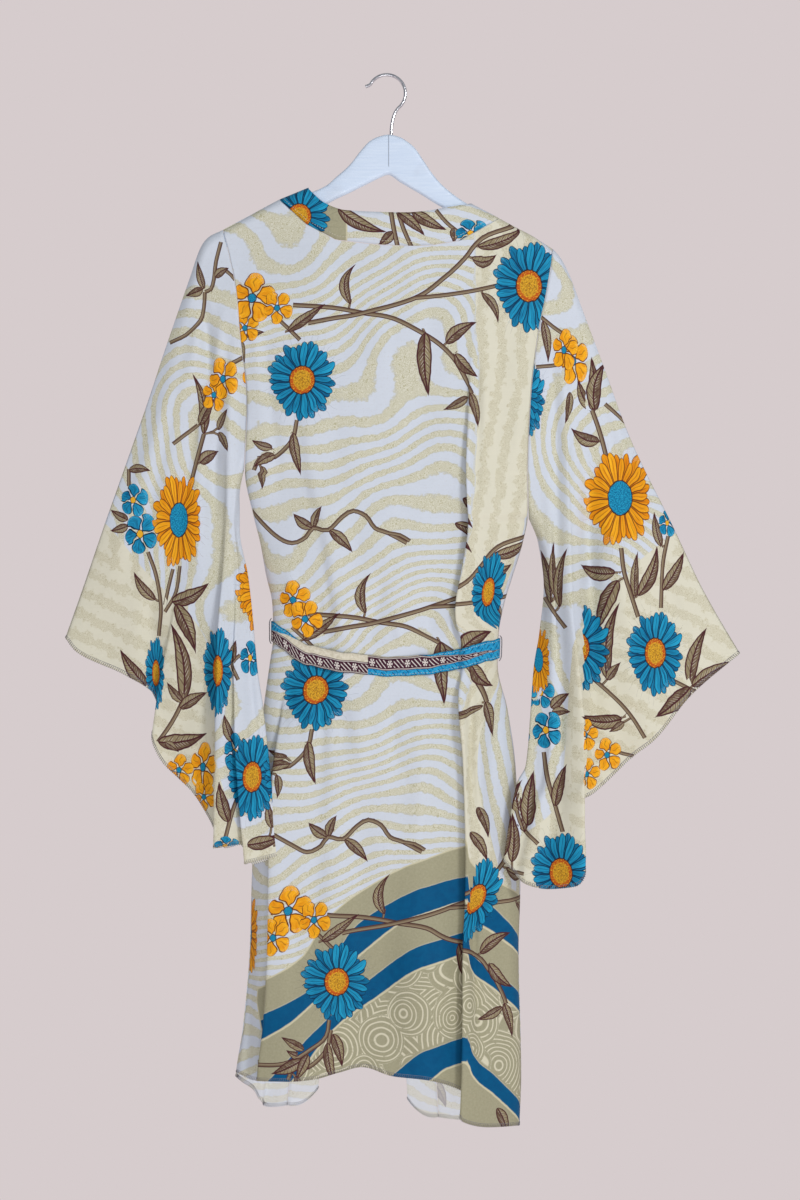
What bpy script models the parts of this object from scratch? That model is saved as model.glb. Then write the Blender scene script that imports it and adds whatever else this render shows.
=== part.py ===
"""A short kimono robe of light printed cloth, hung on a white wooden hanger with a wire hook.

Tables and sizes are in millimetres. The origin is the inside of the hook's crown, +Z is up, X runs
across the shoulders and the robe's back faces -Y. Outlines are those that show square on from the
back at VIEW_DISTANCE, so seen_from_behind() draws each point in by how far it stands from the
hanger's plane.
"""

import math
from collections import namedtuple

import bmesh
import bpy
import numpy as np

MM = 0.001
COLLECTION = "kimono_robe"

# Cloth, seams and the sight line of the outlines
WALL = 1.2
SEAM = 0.35
VIEW_DISTANCE = 2567.0
VIEW_X = 13.0
VIEW_HEIGHT = -576.0

# Hanger and hook
HOOK_WIRE = 3.7
HOOK_RADIUS = 20.5
HOOK_CENTRE_X = -1.6
HOOK_STEM_X = 3.3
HANGER_THICK = 11.0
HANGER_BEVEL = 4.5
HANGER_UNDER_CLOTH = 2.0
SHOULDER_ROUND = 8.0

# Neckband and belt
BAND_WIDTH = 35.0
BAND_HEM_RISE = 10.0
BELT_WIDTH = 22.0
BELT_THICK = 1.5
BELT_CLEAR = 0.5
BELT_END_LENGTH = 340.0
FRONT_OVERLAP = 5.0  # the left front lies over the right
BELT_FRONT_GAP = 12.0
KNOT_SIZE = (26.0, 14.0, 26.0)
KNOT_BEVEL = 5.0

# How finely each piece is divided
RIDGE_ROWS, TOP_ROWS, CHEST_ROWS, BELT_ROWS, SKIRT_ROWS = 4, 9, 5, 2, 10
BACK_COLUMNS = 27
FRONT_COLUMNS = 9
SLEEVE_BACK_COLUMNS, SLEEVE_FRONT_COLUMNS, SLEEVE_ROWS = 24, 12, 12
BAND_COLUMNS = 2

Side = namedtuple("Side", "height left right")
Top = namedtuple("Top", "x height")
Line = namedtuple("Line", "share height")
Depth = namedtuple("Depth", "height back front")
Edge = namedtuple("Edge", "height left right")
Free = namedtuple("Free", "seam_x free_x free_height")
Fold = namedtuple("Fold", "top waist hem rise fall lift lean starts full")
Spot = namedtuple("Spot", "share x height")
Crease = namedtuple("Crease", "name armhole middle cuff rise fall lift lean starts")
Plank = namedtuple("Plank", "x top bottom")

# Side outline of the body: armhole seams, underarms, waist and skirt
BODY_SIDES = (
    Side(-150, -181, 179),
    Side(-169, -181, 180),
    Side(-190, -176, 180),
    Side(-235, -167, 174),
    Side(-280, -163, 165),
    Side(-360, -155, 156),
    Side(-435, -157, 153),
    Side(-482, -148, 153),
    Side(-515, -140, 147),
    Side(-548, -134, 137),
    Side(-581, -127, 127),
    Side(-614, -126, 121),
    Side(-647, -130, 120),
    Side(-697, -137, 131),
    Side(-763, -144, 140),
    Side(-890, -150, 145),
    Side(-960, -152, 143),
    Side(-1043, -159, 145),
    Side(-1096, -167, 146),
    Side(-1155, -171, 144),
)

# Top edge of the back panel: left shoulder, neck point, back neck, neck point, right shoulder
BACK_TOP = (
    Top(-181, -169),
    Top(-120, -136),
    Top(-91, -162.5),
    Top(-58, -180),
    Top(-11, -185.4),
    Top(25, -187),
    Top(48, -186),
    Top(79, -181),
    Top(122, -156.4),
    Top(158, -175.5),
    Top(180, -190),
)
LEFT_NECK_POINT, RIGHT_NECK_POINT = BACK_TOP[1], BACK_TOP[8]
# Behind the neck the cloth lies over the hanger's arms, which rise from the neck points
NECK_RIDGE_SLOPE = 0.44
NECK_RIDGE_TOP = -112.0
BACK_NECK_BULGE = 5.0
NECK_COLUMN_GAPS = (1.2, 4.5)

# Cross lines of the body, by the share of the width from the left side
UNDERARM_LINE = (Line(0, -435), Line(1, -487))
BELT_LINE = (
    Line(0.0, -610),
    Line(0.16, -636),
    Line(0.42, -647),
    Line(0.56, -649),
    Line(0.79, -643),
    Line(1.0, -629),
)
BACK_HEM = (
    Line(0.0, -1096),
    Line(0.066, -1105),
    Line(0.2, -1106),
    Line(0.29, -1103),
    Line(0.36, -1096),
    Line(0.44, -1090),
    Line(0.55, -1100),
    Line(0.68, -1105),
    Line(0.8, -1117),
    Line(0.86, -1150),
    Line(0.92, -1156),
    Line(1.0, -1154),
)
# Front hems, by the share of the width from the side seam to the front edge
LEFT_FRONT_HEM = (
    Line(0.0, -1100),
    Line(0.25, -1107),
    Line(0.5, -1113),
    Line(0.68, -1132),
    Line(1.0, -1134),
)
RIGHT_FRONT_HEM = (
    Line(0.0, -1152),
    Line(0.4, -1148),
    Line(0.7, -1144),
    Line(1.0, -1139),
)
FRONT_UNDERARM = Line(1.0, -445)
FRONT_BELT = Line(1.0, -650)

# Front edges, where the neckband is sewn on
FRONT_EDGES = (
    Edge(-136, -120, 124),
    Edge(-156, -114, 122),
    Edge(-200, -101, 108),
    Edge(-300, -72, 76),
    Edge(-450, -32, 34),
    Edge(-560, -8, 8),
    Edge(-650, 4, -4),
    Edge(-700, 1, -2),
    Edge(-760, -12, 4),
    Edge(-900, -54, 24),
    Edge(-1100, -108, 53),
    Edge(-1150, -113, 56),
)

# How far back and fronts stand from the hanger's plane
DEPTHS = (
    Depth(-150, 9, 9),
    Depth(-200, 15, 13),
    Depth(-300, 20, 19),
    Depth(-450, 25, 26),
    Depth(-560, 28, 29),
    Depth(-640, 25, 29),
    Depth(-750, 31, 33),
    Depth(-900, 36, 39),
    Depth(-1100, 42, 45),
)
ARMHOLE_DEPTH = 15.0
UNDERARM_ROUND = 25.0

# Folds of the panels. Places are shares of the width at chest, waist and hem. A fold climbs over
# rise, falls over fall, stands out by lift and its crest leans sideways by lean.
BACK_FOLDS = (
    Fold(0.80, 0.865, 0.85, 0.040, 0.130, 15, -13, -230, -520),
    Fold(0.11, 0.095, 0.10, 0.045, 0.200, 8, -6, -440, -560),
    Fold(0.30, 0.26, 0.22, 0.10, 0.12, 6, -2, -660, -1040),
    Fold(0.62, 0.62, 0.66, 0.12, 0.12, 7, 2, -660, -1040),
    Fold(0.45, 0.42, 0.42, 0.12, 0.12, -6, 0, -660, -1040),
    Fold(0.20, 0.30, 0.30, 0.06, 0.10, 4, -3, -250, -430),
)
LEFT_FRONT_FOLDS = (
    Fold(0.35, 0.35, 0.30, 0.18, 0.22, 7, 3, -300, -900),
    Fold(0.70, 0.70, 0.66, 0.14, 0.20, 9, -5, -660, -1000),
)
RIGHT_FRONT_FOLDS = (
    Fold(0.35, 0.35, 0.28, 0.16, 0.20, 7, -4, -300, -900),
    Fold(0.70, 0.72, 0.68, 0.14, 0.18, 8, 4, -660, -1000),
)

# Neckband: where its free edge shows behind the neck, by the place on its seam
BACK_BAND_FREE = (
    Free(-120, -88.5, -123),
    Free(-91, -70, -139),
    Free(-58, -47, -147),
    Free(-11, -9, -149),
    Free(25, 19, -149.5),
    Free(48, 41, -148),
    Free(79, 64, -144),
    Free(122, 91, -140),
)

# Sleeves: outer edge from shoulder to cuff tip, inner edge from underarm to cuff, and cuff line
LEFT_OUTER = (
    Spot(0.0, -181, -169),
    Spot(0.03, -196, -176.5),
    Spot(0.06, -204, -186),
    Spot(0.14, -217, -222),
    Spot(0.27, -243, -297),
    Spot(0.38, -261, -351),
    Spot(0.68, -309, -488),
    Spot(1.0, -354, -618),
)
LEFT_INNER = (
    Spot(0.0, -157, -435),
    Spot(0.08, -163, -466),
    Spot(0.16, -163, -499),
    Spot(0.27, -154, -548),
    Spot(0.35, -150, -581),
    Spot(0.53, -143, -656),
    Spot(0.62, -137, -695),
    Spot(1.0, -120, -857),
)
LEFT_CUFF = (
    Spot(0.0, -354, -618),
    Spot(0.04, -342, -633),
    Spot(0.18, -286, -660),
    Spot(0.26, -256, -682),
    Spot(0.38, -247, -738),
    Spot(0.42, -241, -758),
    Spot(0.52, -213, -789),
    Spot(0.62, -194, -820),
    Spot(0.72, -180, -849),
    Spot(0.82, -160, -845),
    Spot(0.88, -150, -867),
    Spot(1.0, -120, -857),
)
RIGHT_OUTER = (
    Spot(0.0, 180, -190),
    Spot(0.02, 188, -199),
    Spot(0.06, 198, -218),
    Spot(0.12, 210, -250),
    Spot(0.27, 235, -317),
    Spot(0.42, 265, -398),
    Spot(0.66, 314, -499),
    Spot(0.8, 346, -566),
    Spot(1.0, 386, -635),
)
RIGHT_INNER = (
    Spot(0.0, 153, -487),
    Spot(0.08, 165, -515),
    Spot(0.2, 171, -560),
    Spot(0.34, 166, -612),
    Spot(0.44, 160, -650),
    Spot(0.6, 156, -705),
    Spot(0.74, 151, -758),
    Spot(0.8, 141, -778),
    Spot(1.0, 126, -863),
)
RIGHT_CUFF = (
    Spot(0.0, 386, -635),
    Spot(0.14, 331, -682),
    Spot(0.28, 291, -731),
    Spot(0.35, 269, -748),
    Spot(0.50, 226, -788),
    Spot(0.60, 200, -806),
    Spot(0.70, 198, -872),
    Spot(0.76, 190, -891),
    Spot(0.85, 172, -894),
    Spot(0.92, 149, -885),
    Spot(1.0, 126, -863),
)
# Folds of the sleeves, fanned from the shoulder. Places are shares from outer to inner edge.
LEFT_CREASES = (
    Crease("outer lobe", 0.30, 0.36, 0.36, 0.05, 0.10, 13, -11, 0.35),
    Crease("inner lobe", 0.55, 0.62, 0.69, 0.05, 0.12, 16, -12, 0.10),
    Crease("last lobe", 0.80, 0.84, 0.88, 0.04, 0.08, 9, -6, 0.45),
)
RIGHT_CREASES = (
    Crease("inner lobe", 0.22, 0.56, 0.70, 0.06, 0.20, 20, 19, 0.02),
    Crease("flare", 0.20, 0.26, 0.30, 0.10, 0.12, 7, 0, 0.30),
    Crease("last lobe", 0.70, 0.84, 0.90, 0.05, 0.06, 6, -5, 0.50),
)
HIDDEN_CREASES = (
    Crease("first", 0.25, 0.30, 0.34, 0.12, 0.14, 9, 0, 0.20),
    Crease("second", 0.60, 0.66, 0.70, 0.12, 0.14, 10, 0, 0.20),
)
CUFF_HALF_DEPTH = 11.0
SLEEVE_SWING = 38.0

# Wooden hanger: top and bottom edges of the part that shows
LEFT_PLANKS = (
    Plank(-82, -126.6, -148),
    Plank(-68, -120, -141),
    Plank(-57, -110.5, -135),
    Plank(-43, -98, -128.5),
    Plank(-29, -80.3, -121.5),
    Plank(-20, -71, -117),
    Plank(-12, -66.8, -113),
)
MIDDLE_PLANK = Plank(0, -64, -108.5)
RIGHT_PLANKS = (
    Plank(13, -66.8, -116.5),
    Plank(20, -71, -120.5),
    Plank(28.5, -77.8, -125.5),
    Plank(38.5, -92, -131.5),
    Plank(48.7, -107, -138),
    Plank(60.5, -120.5, -145),
    Plank(86.6, -140, -160),
)
HANGER_ARM_HEIGHT = 20.0
HANGER_TIPS = (-186.0, 185.0)


def between(rows, key, value, at):
    """A table's value at a place, running smoothly from row to row without overshoot."""
    xs = np.array([getattr(row, key) for row in rows], float)
    ys = np.array([getattr(row, value) for row in rows], float)
    if xs[0] > xs[-1]:
        xs, ys = xs[::-1], ys[::-1]
    steps = np.diff(xs)
    slopes = np.diff(ys) / steps
    tangents = np.zeros_like(ys)
    tangents[0], tangents[-1] = slopes[0], slopes[-1]
    before, after = slopes[:-1], slopes[1:]
    same_way = before * after > 0
    tangents[1:-1][same_way] = (2 * before * after)[same_way] / (before + after)[same_way]
    at = np.clip(at, xs[0], xs[-1])
    i = np.clip(np.searchsorted(xs, at) - 1, 0, len(xs) - 2)
    t = (at - xs[i]) / steps[i]
    start, end = ys[i], ys[i + 1]
    pull = steps[i] * (tangents[i] * t * (1 - t) ** 2 - tangents[i + 1] * t**2 * (1 - t))
    return start + (end - start) * t**2 * (3 - 2 * t) + pull


def ease(t):
    """From 0 to 1 without a corner at either end."""
    t = np.clip(t, 0, 1)
    return t * t * (3 - 2 * t)


def rounding(t):
    """A quarter circle: steep at 0, level from 1 on."""
    return np.sqrt(1 - (1 - np.clip(t, 0, 1)) ** 2)


def seen_from_behind(x, y, height):
    """Draws a point in towards the sight line, so that it shows where the outlines say."""
    scale = 1 + y / VIEW_DISTANCE
    new_x = VIEW_X + (x - VIEW_X) * scale
    new_height = VIEW_HEIGHT + (height - VIEW_HEIGHT) * scale
    return np.stack([new_x, y, new_height], axis=-1)


def levels():
    """Rows down a panel: 0 top edge, 1 underarm, 2 and 3 the belt's edges, 4 hem."""
    round_share = SHOULDER_ROUND / (BACK_TOP[0].height - UNDERARM_LINE[0].height)
    ridge = round_share * (1 - np.cos(np.linspace(0, math.pi / 2, RIDGE_ROWS + 1)))[:-1]
    top = round_share + (1 - round_share) * np.linspace(0, 1, TOP_ROWS + 1)[:-1] ** 1.6
    chest = 1 + np.linspace(0, 1, CHEST_ROWS + 1)[:-1]
    belt = 2 + np.linspace(0, 1, BELT_ROWS + 1)[:-1]
    skirt = 3 + np.linspace(0, 1, SKIRT_ROWS + 1)
    return np.concatenate([ridge, top, chest, belt, skirt])


def height_at(level, top, underarm, belt, hem):
    """Height of a row between the cross lines."""
    lines = np.stack([top, underarm, belt + BELT_WIDTH / 2, belt - BELT_WIDTH / 2, hem])
    i = np.clip(level.astype(int), 0, 3)
    part = level - i
    columns = np.broadcast_to(np.arange(lines.shape[1]), level.shape)
    return lines[i, columns] * (1 - part) + lines[i + 1, columns] * part


def armhole_half_depth(below_top, above_underarm):
    """Half the width of the armhole loop, rounded over the hanger and at the underarm."""
    rounded = SHOULDER_ROUND * rounding(below_top / SHOULDER_ROUND)
    grown = rounded + (ARMHOLE_DEPTH - SHOULDER_ROUND) * ease(below_top / 90)
    return grown * rounding(above_underarm / UNDERARM_ROUND)


def standing_out(height, below_top, column):
    """How far a panel stands from the hanger's plane away from its sides."""
    full = between(DEPTHS, "height", column, height)
    rounded = SHOULDER_ROUND * rounding(below_top / SHOULDER_ROUND)
    return rounded + (full - SHOULDER_ROUND) * ease(below_top / 170)


def folded(folds, share, height):
    """Sideways and outward shift that the folds give a panel's point."""
    belt = -640.0
    calm = np.exp(-(((height - belt) / 34) ** 2))
    sideways = np.zeros_like(height)
    outward = np.zeros_like(height)
    for fold in folds:
        places = (Line(-1120, fold.hem), Line(belt, fold.waist), Line(-300, fold.top))
        place = between(places, "share", "height", height)
        from_crest = share - place
        bump = ease(1 + from_crest / fold.rise) * (from_crest < 0)
        bump = bump + ease(1 - from_crest / fold.fall) * (from_crest >= 0)
        strength = ease((height - fold.starts) / (fold.full - fold.starts))
        outward += fold.lift * bump * strength * (1 - 0.6 * calm)
        sideways += fold.lean * bump * strength * (1 - calm)
    return sideways, outward


def back_columns(count):
    """Shares across the back panel, closer at its sides and with one at each neck point."""
    even = np.linspace(0, 1, count + 1)
    shares = 0.5 - 0.5 * np.cos(math.pi * even)
    shares = 0.55 * shares + 0.45 * even
    left, right = BACK_TOP[0].x, BACK_TOP[-1].x
    close = []
    for point, inward in ((LEFT_NECK_POINT, 1), (RIGHT_NECK_POINT, -1)):
        share = (point.x - left) / (right - left)
        shares[np.argmin(np.abs(shares - share))] = share
        close += [share + inward * gap / (right - left) for gap in NECK_COLUMN_GAPS]
    return np.sort(np.concatenate([shares, close]))


def back_points(shares, rows):
    """The back panel's points, row by row from shoulders and neck to the hem."""
    share, level = np.meshgrid(shares, rows)
    left, right = BACK_TOP[0].x, BACK_TOP[-1].x
    top_x = left + (right - left) * shares
    top = np.interp(top_x, [point.x for point in BACK_TOP], [point.height for point in BACK_TOP])
    underarm = between(UNDERARM_LINE, "share", "height", shares)
    belt = between(BELT_LINE, "share", "height", shares)
    hem = between(BACK_HEM, "share", "height", shares)
    height = height_at(level, top, underarm, belt, hem)
    left_side = between(BODY_SIDES, "height", "left", height)
    right_side = between(BODY_SIDES, "height", "right", height)
    x = left_side + share * (right_side - left_side)
    top_left = between(BODY_SIDES, "height", "left", top)
    top_right = between(BODY_SIDES, "height", "right", top)
    x = x + (top_x - top_left - share * (top_right - top_left)) * ease(1 - (top - height) / 40)

    neck = (top_x - LEFT_NECK_POINT.x) / (RIGHT_NECK_POINT.x - LEFT_NECK_POINT.x)
    inside = np.minimum(top_x - LEFT_NECK_POINT.x, RIGHT_NECK_POINT.x - top_x)
    neck_height = np.where(neck < 0.5, LEFT_NECK_POINT.height, RIGHT_NECK_POINT.height)
    ridge = np.minimum(neck_height + NECK_RIDGE_SLOPE * inside, NECK_RIDGE_TOP)
    ridge = np.where(inside > 0, ridge, top)
    bulge = BACK_NECK_BULGE * np.sin(math.pi * np.clip(neck, 0, 1)) * np.exp((height - top) / 140)
    full = standing_out(height, ridge - height, "back") + bulge
    underarm_height = np.where(share < 0.5, UNDERARM_LINE[0].height, UNDERARM_LINE[1].height)
    side = armhole_half_depth(ridge - height, height - underarm_height)
    across = (1 - np.abs(2 * share - 1) ** 2.4) ** (1 / 2.4)
    sideways, outward = folded(BACK_FOLDS, share, height)
    y = -(SEAM + side + (full - side) * across + outward)
    return seen_from_behind(x + sideways, y, height)


def front_points(which, shares, rows):
    """A front panel's points, from the side seam to the front edge and from shoulder to hem."""
    is_left = which == "left"
    shoulder_end = BACK_TOP[0] if is_left else BACK_TOP[-1]
    neck_point = LEFT_NECK_POINT if is_left else RIGHT_NECK_POINT
    side_share = 0 if is_left else 1
    share, level = np.meshgrid(shares, rows)
    top_x = shoulder_end.x + (neck_point.x - shoulder_end.x) * shares
    top = np.interp(top_x, [point.x for point in BACK_TOP], [point.height for point in BACK_TOP])
    underarm_side = UNDERARM_LINE[side_share].height
    underarm = underarm_side + (FRONT_UNDERARM.height - underarm_side) * shares
    belt_side = BELT_LINE[0].height if is_left else BELT_LINE[-1].height
    belt = belt_side + (FRONT_BELT.height - belt_side) * ease(shares)
    hem = between(LEFT_FRONT_HEM if is_left else RIGHT_FRONT_HEM, "share", "height", shares)
    height = height_at(level, top, underarm, belt, hem)
    side_x = between(BODY_SIDES, "height", which, height)
    edge_x = between(FRONT_EDGES, "height", which, height)
    x = side_x + share * (edge_x - side_x)
    below_top = top - height
    top_side = between(BODY_SIDES, "height", which, top)
    top_edge = between(FRONT_EDGES, "height", which, top)
    x = x + (top_x - top_side - share * (top_edge - top_side)) * ease(1 - below_top / 40)
    full = standing_out(height, below_top, "front")
    full = full + (FRONT_OVERLAP if is_left else 0) * ease(below_top / 170)
    side = armhole_half_depth(below_top, height - underarm_side)
    across = (1 - (1 - np.clip(share / 0.75, 0, 1)) ** 2.4) ** (1 / 2.4)
    folds = LEFT_FRONT_FOLDS if is_left else RIGHT_FRONT_FOLDS
    sideways, outward = folded(folds, share, height)
    y = SEAM + side + (full - side) * across + outward
    return seen_from_behind(x + sideways, y, height)


def sleeve_layer(which, shares, rows, is_back):
    """One layer of a sleeve, from armhole to cuff by rows and from outer to inner edge by shares."""
    is_left = which == "left"
    outer = LEFT_OUTER if is_left else RIGHT_OUTER
    inner = LEFT_INNER if is_left else RIGHT_INNER
    cuff = LEFT_CUFF if is_left else RIGHT_CUFF
    share, along = np.meshgrid(shares, rows)

    top, underarm = outer[0].height, inner[0].height
    arm_height = top + (underarm - top) * (0.5 - 0.5 * np.cos(math.pi * share))
    arm_x = between(BODY_SIDES, "height", which, arm_height)
    flat = {}
    for column, arm in (("x", arm_x), ("height", arm_height)):
        out = between(outer, "share", column, along)
        into = between(inner, "share", column, along)
        cuff_line = between(cuff, "share", column, share)
        arm_straight = getattr(outer[0], column) * (1 - share) + getattr(inner[0], column) * share
        cuff_straight = getattr(cuff[0], column) * (1 - share) + getattr(cuff[-1], column) * share
        flat[column] = (
            out * (1 - share)
            + into * share
            + (arm - arm_straight) * (1 - along)
            + (cuff_line - cuff_straight) * along
        )

    half = armhole_half_depth(top - arm_height, arm_height - underarm)
    cuff_half = CUFF_HALF_DEPTH * np.sin(math.pi * share) ** 0.5
    half = half * (1 - ease(along)) + cuff_half * ease(along)
    swing = SLEEVE_SWING * ease((along - 0.1) / 0.6) * ease((share - 0.35) / 0.45)
    creases = HIDDEN_CREASES
    if is_back:
        creases = LEFT_CREASES if is_left else RIGHT_CREASES
    sideways = np.zeros_like(share)
    outward = np.zeros_like(share)
    for crease in creases:
        middle = crease.armhole * (1 - along) ** 2 + crease.cuff * along**2
        place = middle + crease.middle * 2 * along * (1 - along)
        from_crest = share - place
        bump = ease(1 + from_crest / crease.rise) * (from_crest < 0)
        bump = bump + ease(1 - from_crest / crease.fall) * (from_crest >= 0)
        strength = ease((along - crease.starts) / (0.75 - crease.starts))
        outward += crease.lift * bump * strength
        sideways += crease.lean * bump * strength
    toward_viewer = -1 if is_back else 1
    y = -swing + toward_viewer * half - (outward if is_back else 0.3 * outward)
    away = 2 * SEAM + (2 * WALL - SEAM) * share**6 * (1 - ease(along / 0.1))
    x = flat["x"] + sideways + (-away if is_left else away)
    return seen_from_behind(x, y, flat["height"])


def collection_named(name):
    """A new collection in the scene."""
    made = bpy.data.collections.new(name)
    bpy.context.scene.collection.children.link(made)
    return made


def material(name, colour, roughness, metallic=0.0):
    """A plain material with one colour."""
    made = bpy.data.materials.new(name)
    made.use_nodes = True
    shader = made.node_tree.nodes["Principled BSDF"]
    shader.inputs["Base Color"].default_value = (*colour, 1.0)
    shader.inputs["Roughness"].default_value = roughness
    shader.inputs["Metallic"].default_value = metallic
    return made


def new_object(name, mesh, finish, collection):
    """An object for a mesh, with its material."""
    mesh.materials.append(finish)
    made = bpy.data.objects.new(name, mesh)
    collection.objects.link(made)
    return made


def sheet(name, points, finish, collection, thickness=WALL, closed=False):
    """A sheet of cloth through rows of points, given its thickness on both sides."""
    rows, columns = points.shape[:2]
    mesh = bmesh.new()
    grid = [[mesh.verts.new(points[r, c] * MM) for c in range(columns)] for r in range(rows)]
    last = columns if closed else columns - 1
    for r in range(rows - 1):
        for c in range(last):
            after = (c + 1) % columns
            mesh.faces.new((grid[r][c], grid[r][after], grid[r + 1][after], grid[r + 1][c]))
    data = bpy.data.meshes.new(name)
    mesh.to_mesh(data)
    mesh.free()
    data.shade_smooth()
    made = new_object(name, data, finish, collection)
    wall = made.modifiers.new("wall", "SOLIDIFY")
    wall.thickness = thickness * MM
    wall.offset = 0
    wall.use_even_offset = False
    return made


def back_panel(finish, collection):
    """The back, in one piece from side seam to side seam."""
    points = back_points(back_columns(BACK_COLUMNS), levels())
    return sheet("back_panel", points, finish, collection)


def front_shares():
    """Shares across a front panel, closer at the side seam."""
    return np.linspace(0, 1, FRONT_COLUMNS + 1) ** 1.5


def front_panel(which, finish, collection):
    """One front, from its side seam to the edge that the neckband finishes."""
    points = front_points(which, front_shares(), levels())
    return sheet(f"front_{which}", points, finish, collection)


def sleeve(which, finish, collection):
    """A wide sleeve: one tube from the armhole to the open cuff."""
    back_shares = np.linspace(0, 1, SLEEVE_BACK_COLUMNS + 1)
    front_shares_up = np.linspace(1, 0, SLEEVE_FRONT_COLUMNS + 1)[1:-1]
    rows = np.linspace(0, 1, SLEEVE_ROWS + 1) ** 1.25
    back = sleeve_layer(which, back_shares, rows, True)
    front = sleeve_layer(which, front_shares_up, rows, False)
    points = np.concatenate([back, front], axis=1)
    return sheet(f"sleeve_{which}", points, finish, collection, closed=True)


def band_from(seam, free):
    """Rows of points from the seam to the free edge of the band, just clear of the seam."""
    way = free - seam
    length = np.linalg.norm(way, axis=1, keepdims=True)
    start = seam + way / length * 2 * SEAM
    steps = np.linspace(0, 1, BAND_COLUMNS + 1)[None, :, None]
    return start[:, None] * (1 - steps) + free[:, None] * steps


def front_band_free(which, seam):
    """The band's free edge down a front: one width from the seam, towards the middle."""
    run = np.gradient(seam, axis=0)
    run[:, 1] = 0
    run /= np.linalg.norm(run, axis=1, keepdims=True)
    inward = np.stack([-run[:, 2], np.zeros(len(run)), run[:, 0]], axis=1)
    if which == "right":
        inward = -inward
    first = BACK_BAND_FREE[0] if which == "left" else BACK_BAND_FREE[-1]
    shoulder_way = np.array([first.free_x - first.seam_x, 0, first.free_height - seam[0, 2]])
    shoulder_way /= np.linalg.norm(shoulder_way)
    near = (1 - ease((seam[0, 2] - seam[:, 2]) / 60))[:, None]
    way = shoulder_way * near + inward * (1 - near)
    way /= np.linalg.norm(way, axis=1, keepdims=True)
    free = seam + way * BAND_WIDTH
    free[:, 2] += BAND_HEM_RISE * ease((seam[-1, 2] + 130 - seam[:, 2]) / 130)
    return free


def neckband(finish, collection):
    """The band along both fronts and round the back neck."""
    left = front_points("left", np.array([1.0]), levels())[:, 0]
    right = front_points("right", np.array([1.0]), levels())[:, 0]
    shares = back_columns(BACK_COLUMNS)
    left_share = (LEFT_NECK_POINT.x - BACK_TOP[0].x) / (BACK_TOP[-1].x - BACK_TOP[0].x)
    right_share = (RIGHT_NECK_POINT.x - BACK_TOP[0].x) / (BACK_TOP[-1].x - BACK_TOP[0].x)
    neck_shares = shares[(shares > left_share + 0.001) & (shares < right_share - 0.001)]
    back = back_points(neck_shares, np.array([0.0]))[0]
    free_x = between(BACK_BAND_FREE, "seam_x", "free_x", back[:, 0])
    free_height = between(BACK_BAND_FREE, "seam_x", "free_height", back[:, 0])
    back_free = seen_from_behind(free_x, back[:, 1], free_height)
    ridges = []
    for front in (left, right):
        ridge = front[0].copy()
        ridge[1] = 0
        ridges.append(ridge[None])
    seam = np.concatenate([left[:0:-1], ridges[0], back, ridges[1], right[1:]])
    left_free = front_band_free("left", left)
    right_free = front_band_free("right", right)
    free = np.concatenate([left_free[:0:-1], left_free[:1], back_free, right_free[:1], right_free[1:]])
    free[len(left) - 1, 1] = 0
    free[len(left) + len(back), 1] = 0
    return sheet("neckband", band_from(seam, free), finish, collection)


def moved_out(ring, distance):
    """The points of a closed ring moved level and outwards from the robe."""
    run = np.roll(ring, -1, axis=0) - np.roll(ring, 1, axis=0)
    out = np.stack([run[:, 1], -run[:, 0], np.zeros(len(run))], axis=1)
    out /= np.linalg.norm(out, axis=1, keepdims=True)
    return ring + out * distance


def belt_rings():
    """Rings of the belt's middle, from its upper to its lower edge, begun and closed in front."""
    rows = 2 + np.linspace(0, 1, BELT_ROWS + 1)
    away = WALL / 2 + BELT_CLEAR + BELT_THICK / 2
    shares = front_shares()
    left = front_points("left", shares, rows)
    right = front_points("right", shares, rows)
    right[:, :, 1] += FRONT_OVERLAP * ease(shares / 0.6)
    back = back_points(back_columns(BACK_COLUMNS), rows)
    rings = []
    for k in range(len(rows)):
        left_row = left[k][left[k][:, 0] < 0][::-1]
        right_row = right[k][right[k][:, 0] > BELT_FRONT_GAP]
        ring = np.concatenate([left_row[:-1], back[k], right_row[1:]])
        rings.append(moved_out(ring, away))
    return np.array(rings)


def knot_place(rings):
    """The knot's middle: on the belt's outer face in front."""
    front = rings[rings[:, :, 1] > 0]
    outer_face = front[np.abs(front[:, 0]) < KNOT_SIZE[0]][:, 1].max() + BELT_THICK / 2
    return np.array([0.0, outer_face + SEAM + KNOT_SIZE[1] / 2, FRONT_BELT.height])


def belt_knot(finish, collection, place):
    """The knot that ties the belt in front."""
    bpy.ops.mesh.primitive_cube_add(size=1, location=place * MM)
    made = bpy.context.object
    made.name = "belt_knot"
    made.scale = np.array(KNOT_SIZE) * MM
    bpy.ops.object.transform_apply(location=False, rotation=False, scale=True)
    made.data.materials.append(finish)
    made.users_collection[0].objects.unlink(made)
    collection.objects.link(made)
    bevel = made.modifiers.new("soft edges", "BEVEL")
    bevel.width = KNOT_BEVEL * MM
    bevel.segments = 3
    made.data.shade_smooth()
    return made


def belt_end(which, finish, collection, place):
    """One free end of the belt, hanging from the knot."""
    side = -1 if which == "left" else 1
    drop = np.linspace(0, 1, 9)
    start = place[2] - KNOT_SIZE[2] / 2 - SEAM
    middle_x = side * (12.5 + 16 * drop)
    y = place[1] + 9 * ease(drop) + side * 1.5
    height = start - (BELT_END_LENGTH + side * 22) * drop
    rows = []
    for across in (-0.5, 0, 0.5):
        edge = np.stack([middle_x + across * BELT_WIDTH, y + 3 * abs(across) * drop, height], axis=1)
        rows.append(edge)
    return sheet(f"belt_end_{which}", np.array(rows), finish, collection, thickness=BELT_THICK)


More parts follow.
